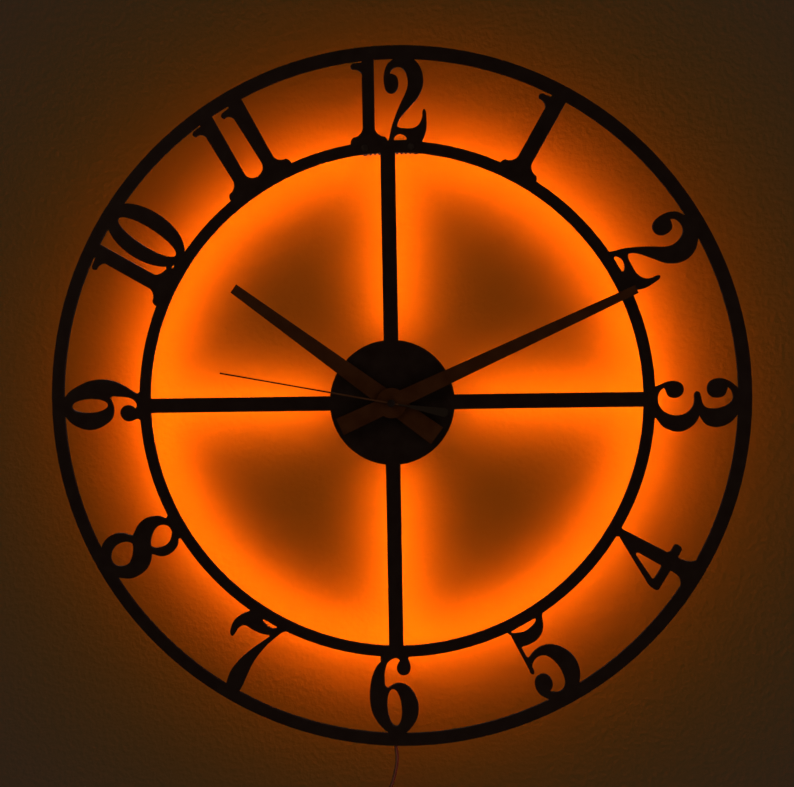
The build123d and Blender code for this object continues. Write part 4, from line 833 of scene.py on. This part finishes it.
@dataclass
class Stage:
    """Wall, lamps, world and camera."""

    camera_at: Sizes = (0.0495, -0.71407, -0.18124)
    target: Sizes = (0.00443, -0.037, -0.21222)
    roll: float = -0.01725
    lens_mm: float = 36.05
    near: float = 0.01
    wall_half: float = 4.0
    wall_behind: float = 0.0004
    wall_rough: float = 0.9
    wall_lump: float = 0.005
    wall_relief: float = 0.0003
    wall_tone: Colour = (0.80, 0.77, 0.70)
    # Painted glow: yellow paint for the wall near the clock, deepening the orange of the lights' glow.
    painted_glow_tone: Colour = (0.80, 0.77, 0.12)
    painted_glow_reach: Sizes = (0.30, 0.50)
    room_tone: Colour = (0.029, 0.0185, 0.0100)
    pale_tone: Colour = (0.82, 0.82, 0.81)

    def camera(self) -> None:
        """Adds the camera at the photograph's view."""
        data = bpy.data.cameras.new("view_camera")
        data.lens = self.lens_mm
        data.clip_start = self.near
        item = aimed(data, self.camera_at, Vector(self.target))
        item.matrix_world = item.matrix_basis @ Matrix.Rotation(self.roll, 4, "Z")
        bpy.context.scene.camera = item

    def wall(self) -> Item:
        """Adds the wall, clear when seen from behind, with painted glow: its paint turns yellower near the
        clock to deepen the orange of the lights' glow there.

        Returns:
            The wall.
        """
        Piece.clear()
        middle = (0, self.wall_behind, ARBOR_UP * MM)
        upright = (math.pi / 2, 0, 0)
        bpy.ops.mesh.primitive_plane_add(size=2 * self.wall_half, location=middle, rotation=upright)
        wall = Piece("wall").item
        paint = Paint(bpy.data.materials.new("wall_paint"))
        far = paint.node("VectorMath", {"operation": "LENGTH"}, {0: paint.place()}, "Value")
        # Painted glow: the paint is yellow near the clock and fades to the plain wall tone further out,
        # deepening the lights' orange glow on it.
        paint.done(
            Base_Color=paint.mix(self.painted_glow_tone, self.wall_tone, far.held(*self.painted_glow_reach)),
            Roughness=self.wall_rough, Specular_IOR_Level=0.0,
            Normal=paint.bump(paint.noise(self.wall_lump), self.wall_relief))
        behind = paint.node("NewGeometry", {}, {}, "Backfacing")
        paint.blend(behind, paint.node("BsdfTransparent", {}, {}), "Material Output")
        wall.data.materials.append(paint.holder)
        wall.visible_shadow = False
        return wall

    def lamps(self, wall: Item) -> None:
        """Adds soft lamps that light the clock and leave the wall to its own glow.

        Args:
            wall: The wall.
        """
        spared = bpy.data.collections.new("lit_by_glow_only")
        spared.objects.link(wall)
        spared.collection_objects[0].light_linking.link_state = "EXCLUDE"
        rows = [
            ("key_lamp", (-1.9, -1.3, 1.1), 1.5, 62.0),
            ("fill_lamp", (2.1, -1.2, 0.2), 1.5, 40.0),
            ("low_lamp", (0.2, -1.4, -2.2), 1.2, 26.0),
            ("back_left_lamp", (-1.3, 1.7, 0.8), 1.4, 55.0),
            ("back_right_lamp", (1.6, 1.6, -0.3), 1.4, 45.0),
        ]
        for name, place, size, power in rows:
            data = bpy.data.lights.new(name, "AREA")
            data.size = size
            data.energy = power
            aimed(data, place, at(0, 0, 0)).light_linking.receiver_collection = spared

    def world(self) -> None:
        """Sets a dim even light, with a pale ground behind the clock."""
        bpy.context.scene.world = bpy.data.worlds.new("room")
        paint = Paint(bpy.context.scene.world, "Background")
        paint.done(Color=self.room_tone)
        seen = paint.node("LightPath", {}, {}, "Is Camera Ray")
        for ray in ("Is Glossy Ray", "Is Transmission Ray"):
            seen = seen.maths("MAXIMUM", seen, paint.node("LightPath", {}, {}, ray))
        paint.blend(seen, paint.node("Background", {}, {"Color": self.pale_tone}), "World Output")

    def build(self) -> None:
        """Sets the whole stage."""
        bpy.context.scene.view_settings.view_transform = "Standard"
        self.camera()
        self.world()
        self.lamps(self.wall())
        LOG.info("stage set")


@dataclass
class PowerLead:
    """Twin lead from the ring strip to its coil, with the clip, strap and plug."""

    width: float = 3.0
    lobe: float = 0.74
    lobe_out: float = 0.76
    lobe_turns: Sizes = (-138, -92, -46, 0, 46, 92, 138)
    length: float = 1.558
    coil_across: float = 3.0
    coil_up: float = -389.95
    coil_inner: float = 13.0
    coil_pitch: float = 4.0
    coil_stand: float = 3.2
    marks: Sizes = (0, 2.875, 3.375, 5.75, 6.25, 8.625, 9.125, 12.0)
    points_per_turn: int = 24
    curve_steps: int = 5
    hanging: Sequence[Sizes] = (
        (-13.58, 33.1, -216.45), (-12.09, 33.1, -225.95), (-14.53, 33.1, -237.84), (-16.57, 33.1, -250.06),
        (-16.50, 33.1, -261.94), (-14.40, 33.1, -270.43), (-9.78, 33.1, -278.24), (-4.62, 33.1, -284.21),
        (-2.4, 33.1, -289.1), (-2.4, 33.1, -294.55), (-2.4, 33.1, -301.02), (-0.91, 32.02, -312.01),
        (-2.4, 27.54, -323.01), (-4.60, 20.90, -334.47), (-7.56, 14.41, -346.48), (-12.20, 8.82, -358.21),
        (-18.0, 4.82, -369.58), (-21.5, 3.2, -380.57), (-21.5, 3.2, -386.95))
    strap_box: Sizes = (12.6, 28.4, 0.3, 18.1)
    strap_wide: float = 7.0
    strap_wall: Sizes = (1.0, 0.2)
    strap_bend: float = 3.2
    tail_long: float = 9.0
    tail_thick: float = 0.8
    tail_narrower: float = 0.4
    tail_edge: float = 0.25
    tail_lift: float = -5.0
    tail_in: float = 4.2
    tail_out: float = 0.3
    plug_run: float = 9.0
    run_shares: Sizes = (0.35, 0.7, 1.0, 1.2)
    plug_nose: Rings = ((2.1, 0.0), (2.4, 0.3))
    rib: Rings = ((2.55, 0.5), (2.7, 1.1), (2.65, 1.7), (2.2, 1.85), (2.25, 2.3))
    rib_count: int = 4
    rib_step: Sizes = (0.5, 1.95)
    plug_neck: Rings = ((4.3, 8.5), (4.75, 9.2), (4.8, 10.0), (4.8, 12.4))
    groove: Rings = ((4.8, 12.6), (4.4, 12.9), (4.4, 13.5), (4.8, 13.8))
    groove_count: int = 5
    groove_step: Sizes = (0.0, 2.2)
    plug_heel: Rings = ((4.8, 24.6), (4.5, 25.5), (3.9, 26.0))
    barrel: Rings = ((2.75, -0.2), (2.75, 8.9), (2.55, 9.4), (1.75, 9.5), (1.5, 9.2), (1.5, 4.0), (0.3, 3.6))
    mouth: Sizes = (1.05, 1.6, 4.0, 9.3, 0.12)

    def radius(self, turn: float) -> float:
        """Finds how far the lead is from the coil's middle.

        Args:
            turn: Turns from the coil's start.

        Returns:
            The distance in millimetres.
        """
        layers = zip(self.marks[::2], self.marks[1::2])
        gone = [min(max(turn - begin, 0), end - begin) for begin, end in layers]
        return self.coil_inner + self.coil_pitch * (self.marks[1] - gone[0] + gone[1] - gone[2] + gone[3])

    def stand(self, turn: float) -> float:
        """Finds how far the lead is from the wall.

        Args:
            turn: Turns from the coil's start.

        Returns:
            The distance in millimetres.
        """
        climbs = zip(self.marks[1:-1:2], self.marks[2:-1:2])
        shares = [min(max((turn - begin) / (end - begin), 0), 1) for begin, end in climbs]
        layer = sum((1 - math.cos(math.pi * share)) / 2 for share in shares)
        return self.coil_stand + self.coil_pitch * layer

    def coil_end(self, down: float) -> Vector:
        """Point below the coil's end, so many millimetres down."""
        turn = self.marks[-1]
        return at(self.coil_across - self.radius(turn), self.stand(turn), self.coil_up - down)

    def route(self) -> list[Vector]:
        """The lead's control points from the ring strip to the plug.

        Returns:
            Points in metres.
        """
        points = [at(*p) for p in self.hanging]
        steps = int(self.marks[-1] * self.points_per_turn)
        swell = 2 / (1 + math.cos(math.pi / self.points_per_turn))
        for index in range(steps + 1):
            turn = index / self.points_per_turn
            a = math.radians(180 + 360 * turn)
            reach = self.radius(turn) * (swell if 0 < index < steps else 1)
            points.append(at(self.coil_across + reach * math.cos(a), self.stand(turn),
                             self.coil_up + reach * math.sin(a)))
        return points + [self.coil_end(share * self.plug_run) for share in self.run_shares]

    def centreline(self) -> list[Vector]:
        """Smooths the route.

        Returns:
            Points along the lead's NURBS spline.
        """
        route = self.route()
        data = bpy.data.curves.new("lead_line", "CURVE")
        data.dimensions = "3D"
        spline = data.splines.new("NURBS")
        spline.points.add(len(route) - 1)
        for target, point in zip(spline.points, route):
            target.co = (*point, 1)
        spline.order_u = 3
        spline.use_endpoint_u = True
        spline.resolution_u = data.resolution_u = self.curve_steps
        item = linked(data)
        line = bpy.data.meshes.new_from_object(item)
        points = [v.co.copy() for v in line.vertices]
        bpy.data.objects.remove(item)
        bpy.data.meshes.remove(line)
        return points

    def section(self) -> Rings:
        """Outline of the twin lead, across and out, in millimetres."""
        right = [(self.lobe_out + self.lobe * math.cos(a), self.lobe * math.sin(a))
                 for a in map(math.radians, self.lobe_turns)]
        return right + [(-x, -y) for x, y in right]

    def lead(self, on_it: Sequence[Item]) -> None:
        """Lays the twin section along the line.

        Args:
            on_it: The pieces on the lead; not used.
        """
        line = self.centreline()
        outline = self.section()
        count = len(outline)
        corners, spans, gone = [], [], 0.0
        for index, point in enumerate(line):
            before, after = line[max(index - 1, 0)], line[min(index + 1, len(line) - 1)]
            ahead = (after - before).normalized()
            side = ahead.cross(Vector(INTO)).normalized()
            out = side.cross(ahead)
            corners += [point + side * (x * MM) + out * (y * MM) for x, y in outline]
            gone += (point - before).length
            spans.append(gone)
        faces = []
        for a in range(len(corners) - count):
            b = a - a % count + (a + 1) % count
            faces.append((a, b, b + count, a + count))
        faces += [tuple(reversed(range(count))), tuple(range(len(corners) - count, len(corners)))]
        mesh = bpy.data.meshes.new("power_lead_twin")
        mesh.from_pydata(corners, [], faces)
        chart = mesh.uv_layers.new(name="UVMap")
        for loop in mesh.loops:
            ring, k = divmod(loop.vertex_index, count)
            chart.data[loop.index].uv = (outline[k][0] / self.width + 0.5, spans[ring])
        bpy.context.view_layer.objects.active = linked(mesh)
        piece = Piece("power_lead_twin")
        piece.chosen()
        twin = piece.closed().finished(LEAD, "lead_brown", replaces=("lead_inner", "power_lead", "lead_coil"))

    def strap(self) -> Item:
        """Makes the hook-and-loop strap round the coil, its tail lapped over the front.

        Returns:
            The strap.
        """
        left, right, back, front = self.strap_box
        Piece.clear()
        bpy.ops.mesh.primitive_cube_add(size=1)
        strap = Piece("coil_strap").sized(right - left, front - back, self.strap_wide)
        strap.pick(lambda normal: abs(normal.z) > SQUARE_ON)
        bpy.ops.mesh.delete(type="FACE")
        strap.pick(lambda way: abs(way.z) > SQUARE_ON, "EDGE")
        bpy.ops.mesh.bevel(offset=self.strap_bend * MM, segments=6, affect="EDGES")
        strap.closed().walled(*self.strap_wall)
        strap.moved(Matrix.Translation(at((left + right) / 2, (back + front) / 2, self.coil_up)))
        size = (self.tail_long, self.tail_thick, self.strap_wide - self.tail_narrower)
        tail = Piece.block("strap_tail", size, self.tail_edge)
        tail.pick(lambda normal: abs(normal.y) > SQUARE_ON)
        bpy.ops.mesh.subdivide(number_cuts=4)
        place = Matrix.Translation(at(left + self.tail_in, front + self.tail_out, self.coil_up))
        lift = Matrix.Rotation(math.radians(self.tail_lift), 4, "Z")
        tail.moved(place @ lift @ Matrix.Translation((0.5 * self.tail_long * MM, 0, 0)))
        return strap.joined(tail).finished(STRAP, "black_rubber", replaces=("coil_tie",))

    @staticmethod
    def stepped(shape: Rings, count: int, step: Sizes) -> Rings:
        """Repeats a stretch of a profile, each time a step wider and higher."""
        return [(wide + i * step[0], high + i * step[1]) for i in range(count) for wide, high in shape]

    def plug(self) -> list[Item]:
        """Makes the moulded plug, its barrel and the ring in the barrel's mouth.

        Returns:
            The three pieces.
        """
        down = Matrix.Translation(self.coil_end(self.plug_run)) @ Matrix.Rotation(math.pi, 4, "X")
        profile = [
            *self.plug_nose, *self.stepped(self.rib, self.rib_count, self.rib_step), *self.plug_neck,
            *self.stepped(self.groove, self.groove_count, self.groove_step), *self.plug_heel]
        body = Piece.turned("plug_body", profile, sides=32).moved(down)
        end = down @ Matrix.Translation((0, 0, self.plug_heel[-1][1] * MM))
        barrel = Piece.turned("barrel_tube", self.barrel, sides=32).moved(end)
        mouth = Piece.hoop("barrel_mouth", self.mouth, sides=32).moved(end)
        return [body.finished(PLUG_BLACK, "black_rubber", replaces=("dc_plug",)),
                barrel.finished(BRIGHT, "bright_barrel", replaces=("plug_barrel",)),
                mouth.finished(PLUG_BLACK, "black_rubber")]

    def build(self) -> None:
        """Makes the lead and what is on it, and dresses its clip."""
        self.lead([*self.plug(), self.strap()])
        dress(CASE_BLACK, "lead_clip")


@dataclass
class LightStrips:
    """Light strips, their diodes, resistors, jumper wires and solder."""

    top_turns: Sizes = (88.2, 91.8)
    spoke_end: float = 200.0
    spoke_count: int = 8
    spokes: Sizes = (0, 90, 180, 270)
    ring_inner: float = 213.4
    strip_face: float = 34.6
    led_face: float = 33.8
    lens_radius: float = 1.2
    lens_shape: Rings = ((1.0, -0.3), (1.0, 0.12), (0.9, 0.2))
    ring_lean: float = 14.0
    chip_size: Sizes = (2.0, 1.25, 0.55)
    chip_edge: float = 0.12
    chip_sink: float = 0.25
    end_size: Sizes = (0.45, 1.3, 0.6)
    end_edge: float = 0.1
    end_out: float = 0.85
    blob: Rings = ((1.25, -0.05), (1.2, 0.3), (0.95, 0.75), (0.5, 1.05), (0.15, 1.12))
    blob_in: float = 1.2
    hub_blob_in: float = 1.3
    hub_turns: Sizes = (90, 0)
    lead_blobs: Rings = ((-14.4, -215.6), (-12.6, -215.8))
    wire_beside: float = 1.6

    def ring_spots(self, first: float, every: int = 1) -> Rings:
        """Radius and direction of places along the ring, counted in lights."""
        return [(RING_RADIUS, RING_START + (i + first) * RING_STEP) for i in range(0, RING_COUNT, every)]

    def spoke_spots(self, first: float, every: int = 1) -> Rings:
        """Radius and direction of places along the spokes, counted in lights."""
        return [(SPOKE_START + (i + first) * SPOKE_STEP, direction)
                for direction in self.spokes for i in range(0, self.spoke_count, every)]

    def lenses(self, name: str, spots: Rings, finish: Lens, lean: float = 0.0) -> None:
        """Makes the lit lenses of a set of diodes.

        Args:
            name: The piece's name.
            spots: Radius and direction of each.
            finish: The lit finish.
            lean: How far they lean out from the arbor, in degrees.
        """
        r, a = self.lens_radius, math.radians(lean)
        lens = Piece.turned(name, [(share * r, high) for share, high in self.lens_shape], sides=12)
        tip = Matrix.Translation((0, 0, r * math.sin(a) * MM)) @ Matrix.Rotation(a, 4, "Y")
        lens.repeated([place @ tip for place in around(spots, self.led_face)]).finished(finish, "led_amber")

    def resistors(self) -> None:
        """Makes the small resistors, one for each group of lights."""
        stand = self.strip_face - self.chip_sink
        places = around(self.ring_spots(1, GROUP), stand, 90) + around(self.spoke_spots(1, GROUP), stand)
        chip = Piece.block("strip_resistors", self.chip_size, self.chip_edge)
        chip.repeated(places).finished(CHIP, "strip_black")
        sides = [Matrix.Translation((side * self.end_out * MM, 0, 0)) for side in (-1, 1)]
        ends = Piece.block("resistor_ends", self.end_size, self.end_edge)
        ends.repeated([place @ side for place in places for side in sides]).finished(SOLDER, "soft_iron")

    def solder(self) -> None:
        """Makes the solder on the ends of the wires."""
        fars = (self.spoke_end - self.blob_in, self.ring_inner + self.blob_in)
        spots = [on_dial(far, direction, self.strip_face, beside) for direction in self.spokes
                 for beside in (-self.wire_beside, self.wire_beside) for far in fars]
        hub = SPOKE_START + self.hub_blob_in
        spots += [on_dial(hub, direction, self.strip_face) for direction in self.hub_turns]
        spots += [at(across, self.strip_face, up) for across, up in self.lead_blobs]
        blob = Piece.turned("solder_joints", self.blob, sides=14)
        blob.repeated([facing(spot) for spot in spots]).finished(SOLDER, "soft_iron")

    def build(self) -> None:
        """Makes the new pieces and dresses the CAD ones."""
        ring = [*self.ring_spots(0.5), *((RING_RADIUS, turn) for turn in self.top_turns)]
        self.lenses("ring_lenses", ring, RING_LENS, self.ring_lean)
        self.lenses("spoke_lenses", self.spoke_spots(0.5), SPOKE_LENS)
        self.resistors()
        self.solder()
        dress(RING_STRIP, "ring_led_strip")
        dress(SPOKE_STRIP, "spoke_led_strips")
        dress(LED_BODY_PAINTED_AMBER_LIGHT, "ring_leds", "spoke_leds")
        dress(RED_WIRE, "strip_jumpers", "hub_jumper")


@dataclass
class DialPlate:
    """Laser-cut plate with its hanger, posts and feet."""

    post_radius: float = 46.0
    post_turns: Sizes = (135, 225, 315)
    post_half: float = 3.0
    plate_back: float = 35.0
    weld_out: float = 0.25
    weld_half: float = 0.75
    weld_ripple: float = 0.16
    weld_sink: float = 0.1
    cup: Rings = (
        (4.1, 0.0), (4.7, 0.2), (5.0, 0.7), (5.0, 1.5), (4.7, 1.8), (4.7, 2.3), (5.0, 2.6), (5.0, 4.6),
        (4.75, 5.4), (4.2, 5.9))
    cup_lip: Rings = ((0.5, 6.0), (0.1, 5.6), (-0.2, 5.2))

    def posts(self) -> Rings:
        """Radius and direction of each post."""
        return [(self.post_radius, turn) for turn in self.post_turns]

    def welds(self) -> None:
        """Makes the rippled bead round each post where it meets the plate."""
        Piece.clear()
        bpy.ops.mesh.primitive_torus_add(
            major_segments=30, minor_segments=8,
            major_radius=(self.post_half + self.weld_out) * MM, minor_radius=self.weld_half * MM)
        bead = Piece("post_welds")
        bead.edit_all()
        bpy.ops.transform.vertex_random(offset=self.weld_ripple * MM, uniform=0.4, normal=0.6, seed=4)
        bead.closed().repeated(around(self.posts(), self.plate_back - self.weld_sink))
        bead.finished(POST_COAT, "plate_black")

    def feet(self) -> None:
        """Makes the soft feet on the posts' ends."""
        lip = [(self.post_half + out, high) for out, high in self.cup_lip]
        cup = Piece.turned("foot_cups", [*self.cup, *lip], sides=36)
        cup.repeated([facing(on_dial(*post, 0), front=True) for post in self.posts()])
        cup.finished(RUBBER, "black_rubber", replaces=("wall_feet",))

    def build(self) -> None:
        """Makes the welds and feet, and dresses the plate and its hanger."""
        self.welds()
        self.feet()
        dress(PLATE_BLACK, "dial_plate")
        dress(ZINC_PAINTED_SHADE, "hanger_bracket")
        dress(RIVET_BLACK, "hanger_rivets")
        dress(POST_COAT, "standoff_posts")


@dataclass
class Movement:
    """Quartz movement with its case, motor, wheels and cell."""

    cover_back: float = 16.5
    border_size: Sizes = (51.0, 35.0)
    border_middle: float = 8.05
    border_corner: float = 2.5
    border_wide: float = 1.3
    border_wall: Sizes = (0.8, 0.15)
    border_sink: float = 0.45
    knob: Sizes = (12.0, 0.0)
    knob_ring: Sizes = (7.5, 8.3, -0.1, 0.4, 0.12)
    arrow: Rings = ((1.9, -0.1), (1.9, 0.35), (1.6, 0.5))
    arrow_radius: float = 7.9
    arrow_turns: Sizes = (35, 215)
    screw: Rings = ((2.1, -0.2), (2.1, 0.5), (1.8, 0.9), (1.0, 1.05), (0.85, 1.0), (0.8, 0.35), (0.2, 0.3))
    screws: Rings = ((-21.2, 21.6), (21.2, 21.6), (-21.2, -5.6))
    clip_size: Sizes = (1.6, 6.0, 9.0)
    clip_edge: float = 0.4
    clip_inset: float = 0.9
    clip_rise: float = 0.35
    clip_side: float = 28.2
    clip_stand: float = 23.0
    clip_ups: Sizes = (-2.0, 18.0)

    def border(self) -> None:
        """Makes the raised border on the cover."""
        Piece.clear()
        bpy.ops.mesh.primitive_plane_add(size=1)
        border = Piece("cover_border").sized(*self.border_size, 1)
        border.edit_all()
        bpy.ops.mesh.bevel(offset=self.border_corner * MM, segments=4, affect="VERTICES")
        border.edit_all()
        bpy.ops.mesh.inset(thickness=self.border_wide * MM)
        bpy.ops.mesh.delete(type="FACE")
        bpy.ops.object.mode_set(mode="OBJECT")
        border.walled(*self.border_wall)
        border.moved(facing(at(0, self.cover_back - self.border_sink, self.border_middle)))
        border.finished(COVER_GREY, "movement_black")

    def setting_marks(self) -> None:
        """Makes the raised ring round the setting knob, with two arrowheads."""
        ring = Piece.hoop("setting_ring", self.knob_ring, sides=60)
        out = Matrix.Translation((self.arrow_radius * MM, 0, 0)) @ Matrix.Rotation(math.radians(90), 4, "Z")
        heads = Piece.turned("setting_arrows", self.arrow, sides=3)
        heads.repeated([Matrix.Rotation(math.radians(turn), 4, "Z") @ out for turn in self.arrow_turns])
        ring.joined(heads).moved(facing(at(self.knob[0], self.cover_back, self.knob[1])))
        ring.finished(COVER_GREY, "movement_black")

    def fixings(self) -> None:
        """Makes the cover's screws and the clips on the case's sides."""
        screw = Piece.turned("cover_screws", self.screw)
        screw.repeated([facing(at(x, self.cover_back, z)) for x, z in self.screws])
        screw.finished(SPRING, "spring_steel")
        clip = Piece.block("case_clips", self.clip_size, self.clip_edge)
        clip.pick(lambda normal: normal.x > SQUARE_ON)
        bpy.ops.mesh.inset(thickness=self.clip_inset * MM)
        bpy.ops.mesh.extrude_region_move(TRANSFORM_OT_translate={"value": (self.clip_rise * MM, 0, 0)})
        places = [Matrix.Translation(at(self.clip_side * math.cos(side), self.clip_stand, up))
                  @ Matrix.Rotation(side, 4, "Z") for side in (0, math.pi) for up in self.clip_ups]
        clip.closed().repeated(places).finished(CASE_BLACK, "movement_black")

    def build(self) -> None:
        """Makes the cover's details and dresses the movement."""
        self.border()
        self.setting_marks()
        self.fixings()
        dress(RUBBER, "movement_gasket")
        dress(CASE_BLACK, "movement_case")
        dress(COVER_GREY, "case_cover", "setting_knob")
        dress(BRASS, "fixing_washer", "fixing_nut")
        dress(CELL, "battery_cell")
        dress(SPRING, "battery_contacts")
        dress(MAGNET, "rotor")
        dress(IRON, "stator", "coil_core")
        dress(COPPER, "drive_coil")
        dress(BOARD, "circuit_board")
        dress(NYLON, "intermediate_wheel", "seconds_wheel", "third_wheel", "drive_wheel", "cannon_pinion",
              "minute_work_wheel", "hour_wheel")


@dataclass
class Hands:
    """Hour, minute and second hands, with the collets pressed on them."""

    hour_front: float = 41.8
    hour_collet: Sizes = (2.52, 4.4, -0.1, 0.9, 0.25)
    minute_front: float = 44.2
    minute_collet: Sizes = (1.62, 3.0, -0.1, 0.9, 0.25)

    def collets(self) -> None:
        """Makes the turned collets of the hour and minute hands."""
        rows = [
            ("hour_collet", self.hour_collet, self.hour_front, HOUR_LACQUER, "hours"),
            ("minute_collet", self.minute_collet, self.minute_front, MINUTE_LACQUER, "minutes"),
        ]
        for name, ring, front, finish, body in rows:
            collet = Piece.hoop(name, ring).moved(facing(at(0, front, 0), front=True))
            collet.finished(finish, "hand_dark", body)

    def build(self) -> None:
        """Makes the collets and dresses the hands."""
        self.collets()
        dress(HOUR_LACQUER, "hour_hand")
        dress(MINUTE_LACQUER, "minute_hand")
        dress(SECOND_LACQUER, "second_hand")
        dress(BUSH_BLACK, "second_hand_bush")


def main() -> None:
    """Builds the stage and the clock."""
    logging.basicConfig(level=logging.INFO, format="%(message)s")
    Stage().build()
    for part in (PowerLead(), LightStrips(), DialPlate(), Movement(), Hands()):
        part.build()


if __name__ == "__main__":
    main()
